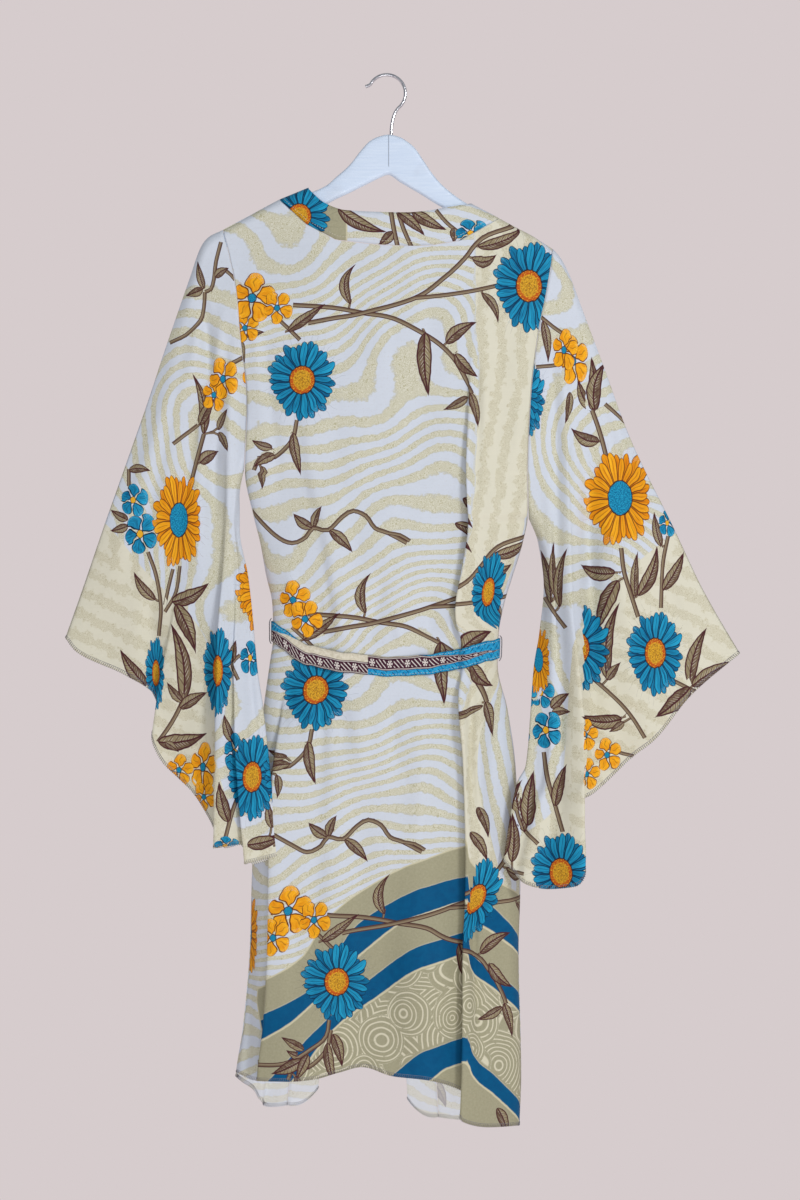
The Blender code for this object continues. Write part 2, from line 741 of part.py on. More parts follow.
def wire(name, points, diameter, resolution, finish, collection):
    """A round wire along a line of points, with closed ends."""
    curve = bpy.data.curves.new(name, "CURVE")
    curve.dimensions = "3D"
    curve.bevel_depth = diameter / 2 * MM
    curve.bevel_resolution = resolution
    curve.use_fill_caps = True
    spline = curve.splines.new("POLY")
    spline.points.add(len(points) - 1)
    for point, place in zip(spline.points, points):
        point.co = (*(np.asarray(place) * MM), 1)
    curve.materials.append(finish)
    made = bpy.data.objects.new(name, curve)
    collection.objects.link(made)
    return made


def belt_loop(which, finish, collection):
    """A thread loop at the side seam, standing over the belt."""
    side = -1 if which == "left" else 1
    belt_height = BELT_LINE[0].height if which == "left" else BELT_LINE[-1].height
    thread = 1.2
    outside_belt = WALL / 2 + BELT_CLEAR + BELT_THICK + 0.5 + thread / 2
    near_cloth = WALL / 2 + 0.8 + thread / 2
    points = []
    for turn in np.linspace(-1, 1, 9):
        height = belt_height + turn * (BELT_WIDTH / 2 + 3)
        beside = between(BODY_SIDES, "height", which, height)
        out = near_cloth + (outside_belt - near_cloth + 0.8) * (1 - turn**6)
        points.append(seen_from_behind(beside + side * out, 0.0, height))
    return wire(f"belt_loop_{which}", points, thread, 1, finish, collection)


def hook_line():
    """The hook's centre line: stem, neck bend, round crown and tip."""
    wire_half = HOOK_WIRE / 2
    centre_x, centre_height = HOOK_CENTRE_X, wire_half - HOOK_RADIUS
    stem = [(HOOK_STEM_X, -76.0), (HOOK_STEM_X, -62.0), (4.2, -52.0), (6.5, -42.5), (10.0, -36.3)]
    angles = np.radians(np.linspace(-40, 152, 22))
    crown = [
        (centre_x + HOOK_RADIUS * math.cos(a), centre_height + HOOK_RADIUS * math.sin(a))
        for a in angles
    ]
    tip = [(-22.6, -10.4), (-25.0, -11.4)]
    return [(x, 0.0, height) for x, height in stem + crown + tip]


def hanger_hook(finish, collection):
    """The wire hook, which stands in a hole in the wood."""
    return wire("hanger_hook", hook_line(), HOOK_WIRE, 3, finish, collection)


def hanger_planks():
    """Columns of the hanger from tip to tip: under the cloth its top follows the shoulders."""
    columns = []
    for part in (0.0, 0.03, 0.25, 0.5, 0.75, 0.92):
        x = HANGER_TIPS[0] + (LEFT_PLANKS[0].x - HANGER_TIPS[0]) * part
        columns.append(arm_plank(x, part))
    columns += [*LEFT_PLANKS, MIDDLE_PLANK, *RIGHT_PLANKS]
    for part in (0.85, 0.6, 0.35, 0.15, 0.03, 0.0):
        x = HANGER_TIPS[1] + (RIGHT_PLANKS[-1].x - HANGER_TIPS[1]) * part
        columns.append(arm_plank(x, part))
    return columns


def arm_plank(x, part):
    """One column of a hidden arm, rounded off at the tip."""
    outer = LEFT_OUTER if x < 0 else RIGHT_OUTER
    if abs(x) < abs(outer[0].x):
        shoulder = np.interp(x, [point.x for point in BACK_TOP], [point.height for point in BACK_TOP])
    else:
        shoulder = between(outer[:3], "x", "height", x)
    neck = LEFT_NECK_POINT if x < 0 else RIGHT_NECK_POINT
    if abs(x) < abs(neck.x):
        shown = LEFT_PLANKS[0] if x < 0 else RIGHT_PLANKS[-1]
        part_in = (x - neck.x) / (shown.x - neck.x)
        top = (neck.height - HANGER_UNDER_CLOTH) * (1 - part_in) + shown.top * part_in
    else:
        top = shoulder - HANGER_UNDER_CLOTH
    tall = HANGER_ARM_HEIGHT * (0.35 + 0.65 * rounding(part / 0.2))
    drop = (HANGER_ARM_HEIGHT - tall) * 0.35
    return Plank(x, top - drop, top - drop - tall)


def plank_section(plank):
    """The rounded outline of the hanger across one column, all round it."""
    half, corner = HANGER_THICK / 2, HANGER_BEVEL
    corners = ((1, 1, 0), (1, -1, 90), (-1, -1, 180), (-1, 1, 270))
    ring = []
    for side, up, turn in corners:
        y = side * (half - corner)
        height = plank.top - corner if up > 0 else plank.bottom + corner
        for step in (0, 45, 90):
            angle = math.radians(90 - turn - step)
            ring.append((plank.x, y + corner * math.cos(angle), height + corner * math.sin(angle)))
    return ring


def hanger_wood(finish, collection, cutters):
    """The wooden arms and hump, in one plank with rounded edges and the hook's hole."""
    mesh = bmesh.new()
    rings = []
    for plank in hanger_planks():
        places = np.array(plank_section(plank)) * MM
        rings.append([mesh.verts.new(place) for place in places])
    count = len(rings[0])
    for ring, following in zip(rings, rings[1:]):
        for i in range(count):
            after = (i + 1) % count
            mesh.faces.new((ring[i], ring[after], following[after], following[i]))
    mesh.faces.new(rings[0][::-1])
    mesh.faces.new(rings[-1])
    bmesh.ops.recalc_face_normals(mesh, faces=mesh.faces)
    data = bpy.data.meshes.new("hanger_wood")
    mesh.to_mesh(data)
    mesh.free()
    data.shade_smooth()
    made = new_object("hanger_wood", data, finish, collection)
    hole_depth = 14.0
    top_height = between([MIDDLE_PLANK, RIGHT_PLANKS[0]], "x", "top", HOOK_STEM_X)
    bpy.ops.mesh.primitive_cylinder_add(
        vertices=16,
        radius=(HOOK_WIRE / 2 + 0.4) * MM,
        depth=2 * hole_depth * MM,
        location=(HOOK_STEM_X * MM, 0, top_height * MM),
    )
    cutter = bpy.context.object
    cutter.name = "hook_hole"
    cutter.users_collection[0].objects.unlink(cutter)
    cutters.objects.link(cutter)
    cutter.hide_render = True
    cutter.display_type = "WIRE"
    hole = made.modifiers.new("hook hole", "BOOLEAN")
    hole.operation = "DIFFERENCE"
    hole.object = cutter
    return made


def main():
    for old in list(bpy.data.objects):
        bpy.data.objects.remove(old)
    parts = collection_named(COLLECTION)
    cutters = collection_named("cutters")
    cutters.hide_render = True

    print_cloth = material("printed_cloth", (0.72, 0.72, 0.66), 0.75)
    sash = material("belt_cloth", (0.04, 0.28, 0.48), 0.8)
    thread = material("loop_thread", (0.75, 0.74, 0.7), 0.8)
    white_wood = material("white_painted_wood", (0.74, 0.82, 0.92), 0.4)
    chrome = material("chrome_wire", (0.75, 0.76, 0.78), 0.2, 1.0)

    back_panel(print_cloth, parts)
    for which in ("left", "right"):
        front_panel(which, print_cloth, parts)
        sleeve(which, print_cloth, parts)
        belt_loop(which, thread, parts)
    neckband(print_cloth, parts)

    rings = belt_rings()
    sheet("belt", rings, sash, parts, thickness=BELT_THICK, closed=True)
    place = knot_place(rings)
    belt_knot(sash, parts, place)
    for which in ("left", "right"):
        belt_end(which, sash, parts, place)
    hanger_wood(white_wood, parts, cutters)
    hanger_hook(chrome, parts)


main()
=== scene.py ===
"""A short kimono robe of light printed cloth, hung on a white wooden hanger: its cloth, print,
sewing, belt, hanger and studio.

Tables are in millimetres unless they say otherwise, in the part's own frame: the origin is the
inside of the hook's crown, +Z is up and the robe's back faces -Y.
"""

import math
from collections import namedtuple

import bmesh
import bpy
import numpy as np
from bpy.props import FloatProperty, FloatVectorProperty, IntProperty, PointerProperty
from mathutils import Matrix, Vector
from mathutils.bvhtree import BVHTree
from mathutils.interpolate import poly_3d_calc


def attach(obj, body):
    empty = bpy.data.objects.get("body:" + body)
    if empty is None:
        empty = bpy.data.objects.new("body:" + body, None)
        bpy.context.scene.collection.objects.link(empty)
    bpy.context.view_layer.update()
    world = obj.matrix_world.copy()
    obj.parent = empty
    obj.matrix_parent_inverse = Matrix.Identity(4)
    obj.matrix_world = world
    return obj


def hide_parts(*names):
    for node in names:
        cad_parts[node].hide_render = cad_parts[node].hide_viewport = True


bl_info = {
    "name": "Kimono robe",
    "version": (1, 0, 0),
    "blender": (4, 5, 0),
    "location": "View3D > Sidebar > Robe",
    "description": "Builds a printed kimono robe on a hanger, piece by piece",
    "category": "Object",
}

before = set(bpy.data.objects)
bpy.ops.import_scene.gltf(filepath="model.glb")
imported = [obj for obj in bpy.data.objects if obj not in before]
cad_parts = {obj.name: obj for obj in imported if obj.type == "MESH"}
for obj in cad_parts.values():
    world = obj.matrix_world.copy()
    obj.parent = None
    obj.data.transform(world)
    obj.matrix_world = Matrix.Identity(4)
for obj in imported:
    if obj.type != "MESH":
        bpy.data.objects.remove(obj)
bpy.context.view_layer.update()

MM = 0.001

# Cloth, seams and the sight line of the outlines
WALL = 1.2
CLOTH = 0.8
SEAM = 0.35
VIEW_DISTANCE = 2567.0
VIEW_X = 13.0
VIEW_HEIGHT = -576.0

# Hanger and hook
HOOK_WIRE = 3.7
HOOK_RADIUS = 20.5
HOOK_CENTRE_X = -1.6
HOOK_ARC = (-40, 152)  # degrees
HOOK_ARC_POINTS = 22
HOOK_STEM = ((3.3, -76.0), (3.3, -62.0), (4.2, -52.0), (6.5, -42.5), (10.0, -36.3))
HOOK_TIP = ((-22.6, -10.4), (-25.0, -11.4))
HANGER_THICK = 11.0
HANGER_BEVEL = 4.5
HANGER_UNDER_CLOTH = 2.0
SHOULDER_ROUND = 8.0

# Neckband and belt
BAND_WIDTH = 35.0
BAND_HEM_RISE = 21.0
BAND_HEM_TURNS = 130.0  # above the hem the band begins to turn up
BAND_SAG = 7.0
BAND_SAGS_ABOVE = 90.0  # above the hem the band's middle begins to sag
BAND_TURNS_BELOW = 60.0  # below the shoulder the band has turned to its own way down
BELT_WIDTH = 22.0
BELT_THICK = 1.5
BELT_CLEAR = 0.5
BELT_END_LENGTH = 340.0
FRONT_OVERLAP = 5.0  # the left front lies over the right
BELT_FRONT_GAP = 12.0
BELT_LEVELS_OVER = 0.6  # share of the right front on which the belt comes out to the left front's level
KNOT_SIZE = (26.0, 14.0, 26.0)
# The belt's ends: how far they start beside the middle, spread and come forward on their way down, lie
# before or behind each other, and are longer or shorter than BELT_END_LENGTH
TAIL_BESIDE = 12.5
TAIL_SPREAD = 16.0
TAIL_FORWARD = 9.0
TAIL_APART = 1.5
TAIL_LENGTH_OFF = 22.0

# How finely each piece is divided
RIDGE_ROWS, TOP_ROWS, CHEST_ROWS, BELT_ROWS, SKIRT_ROWS = 6, 76, 46, 10, 120
BACK_COLUMNS = 120
FRONT_COLUMNS = 46
SLEEVE_BACK_COLUMNS, SLEEVE_FRONT_COLUMNS, SLEEVE_ROWS = 96, 40, 150
BAND_COLUMNS = 8

Side = namedtuple("Side", "height left right")
Top = namedtuple("Top", "x height")
Line = namedtuple("Line", "share height")
Depth = namedtuple("Depth", "height back front")
Free = namedtuple("Free", "seam_x free_x free_height")
Fold = namedtuple("Fold", "top waist hem rise fall lift lean starts full")
Spot = namedtuple("Spot", "share x height")
Crease = namedtuple("Crease", "armhole middle cuff rise fall lift lean starts")
Plank = namedtuple("Plank", "x top bottom")
Half = namedtuple(
    "Half",
    "side shoulder neck underarm belt front_hem front_folds overlap band_free outer inner cuff creases"
    " tip shown_plank front_seed front_shift front_start sleeve_seed",
)


def table(kind, *rows):
    """The rows of a table, each with its columns' names."""
    return tuple(kind(*row) for row in rows)


# Side outline of the body: armhole seams, underarms, waist and skirt
BODY_SIDES = table(
    Side,
    (-150, -181, 179), (-169, -181, 180), (-190, -176, 180), (-235, -167, 174), (-280, -163, 165),
    (-360, -155, 156), (-435, -157, 153), (-482, -148, 153), (-515, -140, 147), (-548, -134, 137),
    (-581, -127, 127), (-614, -126, 121), (-647, -130, 120), (-697, -137, 131), (-763, -144, 140),
    (-890, -150, 145), (-960, -152, 143), (-1043, -159, 145), (-1096, -167, 146), (-1155, -171, 144),
)

# Top edge of the back panel: left shoulder, neck point, back neck, neck point, right shoulder
BACK_TOP = table(
    Top,
    (-181, -169), (-120, -136), (-91, -162.5), (-58, -180), (-11, -185.4), (25, -187), (48, -186),
    (79, -181), (122, -156.4), (158, -175.5), (180, -190),
)
LEFT_NECK_POINT, RIGHT_NECK_POINT = BACK_TOP[1], BACK_TOP[8]
# Behind the neck the cloth lies over the hanger's arms, which rise from the neck points
NECK_RIDGE_SLOPE = 0.44
NECK_RIDGE_TOP = -112.0
BACK_NECK_BULGE = 5.0
NECK_BULGE_FADES = 140.0
NECK_COLUMN_GAPS = (1.2, 4.5)

# Cross lines of the body, by the share of the width from the left side
UNDERARM_LINE = table(
    Line,
    (0, -435), (1, -487),
)
BELT_LINE = table(
    Line,
    (0.0, -610), (0.16, -636), (0.42, -647), (0.56, -649), (0.79, -643), (1.0, -629),
)
BACK_HEM = table(
    Line,
    (0.0, -1096), (0.066, -1105), (0.2, -1106), (0.29, -1103), (0.36, -1096), (0.44, -1090), (0.55, -1100),
    (0.68, -1105), (0.8, -1117), (0.86, -1150), (0.92, -1156), (1.0, -1154),
)
# Front hems, by the share of the width from the side seam to the front edge
LEFT_FRONT_HEM = table(
    Line,
    (0.0, -1100), (0.25, -1112), (0.5, -1127), (0.75, -1134), (1.0, -1132),
)
RIGHT_FRONT_HEM = table(
    Line,
    (0.0, -1152), (0.4, -1149), (0.7, -1148), (1.0, -1145),
)
FRONT_UNDERARM = -445.0
FRONT_BELT = -650.0

# Front edges, where the neckband is sewn on
FRONT_EDGES = table(
    Side,
    (-136, -120, 124), (-156, -114, 122), (-200, -101, 108), (-300, -72, 76), (-450, -32, 34),
    (-560, -8, 8), (-650, 4, -4), (-700, 1, -2), (-760, -12, 4), (-900, -54, 24), (-1100, -108, 53),
    (-1150, -113, 56),
)

# How far back and fronts stand from the hanger's plane
DEPTHS = table(
    Depth,
    (-150, 9, 9), (-200, 15, 13), (-300, 20, 19), (-450, 25, 26), (-560, 28, 29), (-640, 25, 29),
    (-750, 31, 33), (-900, 36, 39), (-1100, 42, 45),
)
ARMHOLE_DEPTH = 15.0
UNDERARM_ROUND = 25.0
# How far below the top edge the armhole and the panel stand out in full
ARMHOLE_FULL_BELOW = 90.0
PANEL_FULL_BELOW = 170.0
# The share of a front's width over which it rounds off from its side seam
FRONT_ROUND_WIDE = 0.75
# The power of a panel's rounding across, and how far down it still fits its top edge
PANEL_ROUND = 2.4
TOP_FITS_FOR = 40.0

# Folds of the panels. Places are shares of the width at chest, waist and hem, at FOLD_LEVELS. A fold
# climbs over rise, falls over fall, stands out by lift and its crest leans sideways by lean.
# The belt holds them flat within BELT_CALMS.
FOLD_LEVELS = (-1120.0, -640.0, -300.0)
BELT_CALMS = 34.0
BACK_FOLDS = table(
    Fold,
    (0.80, 0.865, 0.85, 0.036, 0.130, 18, -18, -230, -520),
    (0.11, 0.095, 0.115, 0.030, 0.200, 13, -12, -640, -800),
    (0.30, 0.26, 0.22, 0.10, 0.12, 6, -2, -660, -1040), (0.62, 0.62, 0.66, 0.12, 0.12, 7, 2, -660, -1040),
    (0.45, 0.42, 0.42, 0.12, 0.12, -6, 0, -660, -1040), (0.20, 0.30, 0.30, 0.06, 0.10, 4, -3, -250, -430),
)
LEFT_FRONT_FOLDS = table(
    Fold,
    (0.35, 0.35, 0.30, 0.18, 0.22, 7, 3, -300, -900), (0.70, 0.70, 0.66, 0.14, 0.20, 9, -5, -660, -1000),
)
RIGHT_FRONT_FOLDS = table(
    Fold,
    (0.35, 0.35, 0.28, 0.16, 0.20, 7, -4, -300, -900), (0.70, 0.72, 0.68, 0.14, 0.18, 8, 4, -660, -1000),
)

# Neckband: where its free edge shows behind the neck, by the place on its seam
BACK_BAND_FREE = table(
    Free,
    (-120, -88.5, -123), (-91, -70, -139), (-58, -47, -147), (-11, -9, -149), (25, 19, -149.5),
    (48, 41, -148), (79, 64, -144), (122, 91, -140),
)

# Sleeves: outer edge from shoulder to cuff tip, inner edge from underarm to cuff, and cuff line
LEFT_OUTER = table(
    Spot,
    (0.0, -181, -169), (0.03, -196, -176.5), (0.06, -204, -186), (0.14, -217, -222), (0.27, -243, -297),
    (0.38, -261, -351), (0.68, -309, -488), (1.0, -354, -618),
)
LEFT_INNER = table(
    Spot,
    (0.0, -157, -435), (0.08, -163, -466), (0.16, -163, -499), (0.27, -154, -548), (0.35, -150, -581),
    (0.53, -143, -656), (0.62, -137, -695), (1.0, -120, -857),
)
LEFT_CUFF = table(
    Spot,
    (0.0, -354, -618), (0.04, -342, -633), (0.18, -286, -660), (0.26, -256, -682), (0.38, -247, -738),
    (0.42, -241, -758), (0.52, -213, -789), (0.62, -194, -820), (0.72, -180, -849), (0.82, -160, -845),
    (0.88, -150, -867), (1.0, -120, -857),
)
RIGHT_OUTER = table(
    Spot,
    (0.0, 180, -190), (0.02, 188, -199), (0.06, 198, -218), (0.12, 210, -250), (0.27, 235, -317),
    (0.42, 265, -398), (0.66, 314, -499), (0.8, 346, -566), (1.0, 386, -635),
)
RIGHT_INNER = table(
    Spot,
    (0.0, 153, -487), (0.08, 165, -515), (0.2, 171, -560), (0.34, 166, -612), (0.44, 160, -650),
    (0.6, 156, -705), (0.74, 151, -758), (0.8, 141, -778), (1.0, 126, -863),
)
RIGHT_CUFF = table(
    Spot,
    (0.0, 386, -635), (0.14, 331, -682), (0.28, 291, -731), (0.35, 269, -748), (0.50, 226, -788),
    (0.60, 200, -806), (0.70, 198, -872), (0.76, 190, -891), (0.85, 172, -894), (0.92, 149, -885),
    (1.0, 126, -863),
)
# Folds of the sleeves, fanned from the shoulder. Places are shares from outer to inner edge.
LEFT_CREASES = table(
    Crease,
    (0.30, 0.36, 0.36, 0.05, 0.10, 13, -11, 0.66), (0.55, 0.70, 0.72, 0.05, 0.14, 17, -11, 0.10),
    (0.74, 0.84, 0.90, 0.04, 0.10, 14, -11, 0.30),
)
RIGHT_CREASES = table(
    Crease,
    (0.24, 0.67, 0.71, 0.05, 0.18, 24, 19, 0.02), (0.20, 0.26, 0.30, 0.10, 0.12, 7, 0, 0.30),
    (0.70, 0.84, 0.90, 0.05, 0.06, 6, -5, 0.50),
)
HIDDEN_CREASES = table(
    Crease,
    (0.25, 0.30, 0.34, 0.12, 0.14, 9, 0, 0.20), (0.60, 0.66, 0.70, 0.12, 0.14, 10, 0, 0.20),
)
CUFF_HALF_DEPTH = 11.0
SLEEVE_SWING = 38.0
# The swing grows from these shares of the sleeve's length and width on, over these shares
SWING_FROM = (0.1, 0.35)
SWING_OVER = (0.6, 0.45)

# Wooden hanger: top and bottom edges of the part that shows
LEFT_PLANKS = table(
    Plank,
    (-82, -126.6, -148), (-68, -120, -141), (-57, -110.5, -135), (-43, -98, -128.5), (-29, -80.3, -121.5),
    (-20, -71, -117), (-12, -66.8, -113),
)
MIDDLE_PLANK = Plank(0, -64, -108.5)
RIGHT_PLANKS = table(
    Plank,
    (13, -66.8, -116.5), (20, -71, -120.5), (28.5, -77.8, -125.5), (38.5, -92, -131.5), (48.7, -107, -138),
    (60.5, -120.5, -145), (86.6, -140, -160),
)
HANGER_ARM_HEIGHT = 20.0
# An arm's height at its tip and where it is full, as shares, and the share of the rest taken off its top
HANGER_TIP_SHARE = 0.35
HANGER_FULL_FROM = 0.2
HANGER_TOP_SHARE = 0.35
# Columns of the arms under the cloth, by their share of the way from the tip
LEFT_ARM_PARTS = (0.0, 0.03, 0.25, 0.5, 0.75, 0.92)
RIGHT_ARM_PARTS = (0.85, 0.6, 0.35, 0.15, 0.03, 0.0)

# What differs between the robe's two halves. A tip is the hanger's end, a seed sets the cloth's uneven
# swell, and a front's print is moved by front_shift picture points.
HALVES = {
    "left": Half(
        side=-1, shoulder=BACK_TOP[0], neck=LEFT_NECK_POINT, underarm=UNDERARM_LINE[0].height,
        belt=BELT_LINE[0].height, front_hem=LEFT_FRONT_HEM, front_folds=LEFT_FRONT_FOLDS,
        overlap=FRONT_OVERLAP, band_free=BACK_BAND_FREE[0], outer=LEFT_OUTER, inner=LEFT_INNER,
        cuff=LEFT_CUFF, creases=LEFT_CREASES, tip=-186.0, shown_plank=LEFT_PLANKS[0],
        front_seed=2.0, front_shift=(40, -55), front_start=1.0, sleeve_seed=4.0,
    ),
    "right": Half(
        side=1, shoulder=BACK_TOP[-1], neck=RIGHT_NECK_POINT, underarm=UNDERARM_LINE[-1].height,
        belt=BELT_LINE[-1].height, front_hem=RIGHT_FRONT_HEM, front_folds=RIGHT_FRONT_FOLDS,
        overlap=0.0, band_free=BACK_BAND_FREE[-1], outer=RIGHT_OUTER, inner=RIGHT_INNER,
        cuff=RIGHT_CUFF, creases=RIGHT_CREASES, tip=185.0, shown_plank=RIGHT_PLANKS[-1],
        front_seed=3.0, front_shift=(-60, -55), front_start=2.0, sleeve_seed=5.0,
    ),
}

# Where a bloom's middle is hidden in a fold, its place is beside it and "beside" leads there, in mm.
# "edge" is where a fold hides the bloom's left side in the picture.
Bloom = namedtuple("Bloom", "kind x y wide tall turn beside edge", defaults=(0, 0))
Leaf = namedtuple("Leaf", "x y tip_x tip_y half bend")
Stem = namedtuple("Stem", "half places")
Wave = namedtuple("Wave", "lift across down start")
KnotCrease = namedtuple("KnotCrease", "deep wide across up off")
Pull = namedtuple("Pull", "x y end_x end_y wide lift")
Cut = namedtuple("Cut", "piece wide long area held rests_on sewing")
SleevePrint = namedtuple("SleevePrint", "blooms stems leaves cuff shift turn")

DAISY, SUN, YELLOW, BLUE = 1, 2, 3, 4

# The print. Places are those that show from the back, in picture points of PICTURE_POINT mm;
# half widths and heights of a bloom are millimetres of cloth.
PICTURE_POINT = 1.1
PICTURE_MIDDLE = (400.0, 600.0)
REPEATS = ((0, 0), (15, 309), (34, 610))
LEAF_BEND = 0.42
LEAF_WIDE = 0.84
SMALL_BLOOM_GROWN = 1.28
HIDDEN_PRINT_FROM = 0.42  # metres down the flat cloth
BAND_KHAKI_END = 0.206
BAND_KHAKI_ROW = 228  # the picture's row in which the patch's sides are given
BAND_START = 1.7

BACK_BLOOMS = table(
    Bloom,
    (YELLOW, 245, 328, 14, 15, 20), (YELLOW, 252, 298, 22, 24, 0), (YELLOW, 277, 308, 15, 16, 40),
    (DAISY, 302, 380, 43, 47, 0), (DAISY, 529, 286, 44, 54, 0), (YELLOW, 293, 600, 17, 18, 15),
    (YELLOW, 305, 619, 17, 18, 50), (DAISY, 316, 690, 43, 47, 12), (DAISY, 488, 592, 24, 48, 0, 0, 470),
    (YELLOW, 288, 911, 22, 23, 10), (YELLOW, 314, 920, 16, 18, 45), (YELLOW, 273, 938, 16, 18, 30),
    (DAISY, 337, 982, 43, 46, 5), (DAISY, 475, 899, 34, 49, 0, 0, 469), (SUN, 248, 935, 30, 50, 0),
)
REPEAT_STEMS = table(
    Stem,
    (2.6, (293, 305, 335, 308, 363, 313, 392, 318, 417, 330, 438, 343, 455, 360, 468, 383, 472, 394)),
    (2.6, (308, 323, 335, 318, 363, 313, 415, 298, 445, 277, 465, 258, 475, 245, 488, 235, 512, 226)),
    (2.4, (415, 298, 445, 295, 472, 291, 500, 285)), (2.2, (277, 318, 290, 330, 300, 340)),
    (2.4, (297, 420, 292, 440, 275, 457, 260, 458, 254, 470)),
    (2.4, (253, 510, 275, 535, 292, 543, 306, 537, 313, 528, 328, 530, 342, 517, 353, 511, 366, 516, 375,
     528, 388, 533, 407, 543)),
    (2.0, (388, 533, 400, 535, 410, 541)),
)
REPEAT_LEAVES = table(
    Leaf,
    (350, 304, 356, 264, 7, 0.5), (288, 331, 325, 304, 7, 0), (425, 333, 429, 397, 10, -0.1),
    (446, 343, 477, 322, 9, 0.2), (455, 354, 478, 377, 8, -0.2), (468, 397, 443, 410, 6, 0.1),
    (470, 393, 478, 428, 7, 0.1), (472, 259, 497, 254, 8, -0.5), (478, 247, 517, 227, 8, -0.2),
    (482, 293, 498, 323, 6, 0.3), (293, 433, 301, 476, 7, -0.1), (272, 448, 252, 440, 6, 0.2),
    (275, 455, 254, 467, 7, -0.2), (262, 466, 262, 490, 5, 0.2), (312, 528, 293, 513, 7, 0.2),
    (313, 527, 322, 506, 6, 0.2), (330, 530, 353, 553, 7, 0.1), (463, 498, 473, 529, 8, 0.2),
    (455, 523, 472, 553, 8, 0.2),
)
BACK_LEAVES = table(
    Leaf,
    (333, 1034, 342, 1067, 8, 0.1), (304, 1050, 281, 1037, 6, 0), (302, 1060, 271, 1074, 8, 0.1),
    (308, 1055, 296, 1081, 7, 0), (250, 326, 259, 320, 4, 0.1), (246, 336, 265, 332, 5, 0.1),
    (241, 341, 245, 363, 5, -0.1),
)
BACK_STEMS = (Stem(2.4, (329, 1020, 326, 1036, 313, 1048, 283, 1064, 258, 1062)),)
# Edges of the border's stripes and of the plain side panel, from left to right
KHAKI_EDGE = (
    257, 990, 267, 980, 302, 958, 330, 917, 357, 895, 412, 865, 467, 845, 470, 862, 500, 884, 519, 896
)
STRIPE_EDGES = (
    (257, 1022, 288, 1003, 316, 985, 352, 930, 385, 906, 426, 887, 467, 876, 470, 892, 494, 908, 518, 938),
    (257, 1049, 288, 1024, 308, 1007, 368, 947, 412, 917, 467, 899, 470, 914, 494, 932, 518, 955),
    (257, 1090, 269, 1080, 313, 1033, 373, 977, 426, 944, 467, 930, 470, 949, 494, 972, 518, 992),
    (280, 1090, 294, 1078, 330, 1032, 373, 999, 426, 966, 467, 951, 470, 966, 494, 988, 518, 1010),
    (350, 1110, 393, 1075, 428, 1050, 468, 1037, 472, 1053, 494, 1075, 518, 1100),
    (380, 1112, 430, 1080, 446, 1068, 468, 1061, 472, 1074, 494, 1094, 518, 1118),
)
# The ecru strip beside the back's right fold: the crest's places, and how wide it is at heights
STRIP_PITCH = 0.019
STRIP_WIDTH = ([0.3, 0.55, 0.66, 0.75], [0.075, 0.06, 0.040, 0.034])
SIDE_CREST = ((476, 330), (473, 520), (468, 634), (467, 853), (471, 947), (476, 1080))
# Left of this line, in a fold, the border gives way to the plain ground
BORDER_START = ((270, 860), (264, 940), (257.5, 1000), (257, 1090))

LEFT_SLEEVE_BLOOMS = table(
    Bloom,
    (YELLOW, 214, 395, 13, 16, 0), (YELLOW, 223, 379, 15, 20, 30), (BLUE, 133, 500, 14, 17, 0),
    (BLUE, 140, 534, 17, 21, 35), (SUN, 179, 520, 30, 57, 0), (DAISY, 156, 673, 13, 44, 0),
    (DAISY, 217, 671, 19, 52, 0), (YELLOW, 203, 767, 14, 23, 0), (YELLOW, 179, 770, 14, 15, 0),
    (YELLOW, 204, 797, 12, 14, 40), (SUN, 248, 590, 30, 50, 0, 16), (BLUE, 250, 658, 11, 18, 0),
    (BLUE, 235, 752, 12, 20, 0), (DAISY, 252, 777, 30, 50, 0), (BLUE, 225, 846, 12, 10, 0),
)
LEFT_SLEEVE_STEMS = table(
    Stem,
    (2.2, (205, 292, 204, 307, 200, 321, 186, 335, 170, 343)),
    (2.2, (221, 242, 216, 262, 214, 279, 211, 289, 205, 292)), (2.0, (225, 270, 231, 275, 235, 280)),
    (2.4, (242, 358, 228, 366)), (2.2, (173, 444, 186, 434, 198, 425)),
    (2.4, (204, 434, 197, 460, 192, 480)), (2.2, (129, 469, 129, 486)),
    (2.0, (173, 569, 168, 590, 163, 615)), (2.0, (180, 566, 176, 592, 165, 612)),
    (2.2, (148, 552, 156, 575, 161, 607, 159, 636)), (2.4, (158, 742, 172, 722, 182, 702, 183, 690)),
    (2.2, (224, 843, 232, 812, 240, 790)), (2.0, (238, 680, 232, 664, 240, 655)),
    (2.0, (262, 838, 282, 845)),
)
LEFT_SLEEVE_LEAVES = table(
    Leaf,
    (204, 289, 198, 261, 5, 0.1), (203, 289, 186, 296, 6, 0.1), (215, 277, 229, 268, 6, 0.2),
    (204, 434, 192, 373, 7, -0.2), (200, 425, 215, 398, 7, 0.1), (200, 463, 219, 451, 8, 0.2),
    (218, 430, 228, 408, 5, 0.1), (219, 432, 228, 452, 5, 0.1), (129, 470, 151, 471, 6, 0.2),
    (128, 520, 111, 510, 6, 0.1), (128, 526, 110, 531, 6, 0.1), (155, 600, 134, 572, 7, 0.2),
    (172, 602, 209, 583, 10, -0.2), (176, 604, 196, 654, 10, 0.1), (183, 702, 170, 621, 10, -0.2),
    (182, 702, 167, 682, 6, 0.1), (180, 708, 208, 692, 8, 0.1), (146, 686, 120, 649, 9, 0.1),
    (158, 742, 207, 733, 11, -0.2), (165, 742, 179, 752, 5, 0.1), (228, 822, 219, 782, 8, 0.1),
    (232, 742, 224, 714, 6, 0.1), (247, 845, 283, 836, 9, -0.1), (272, 828, 268, 800, 6, 0.1),
    (232, 662, 236, 640, 5, 0.1),
)
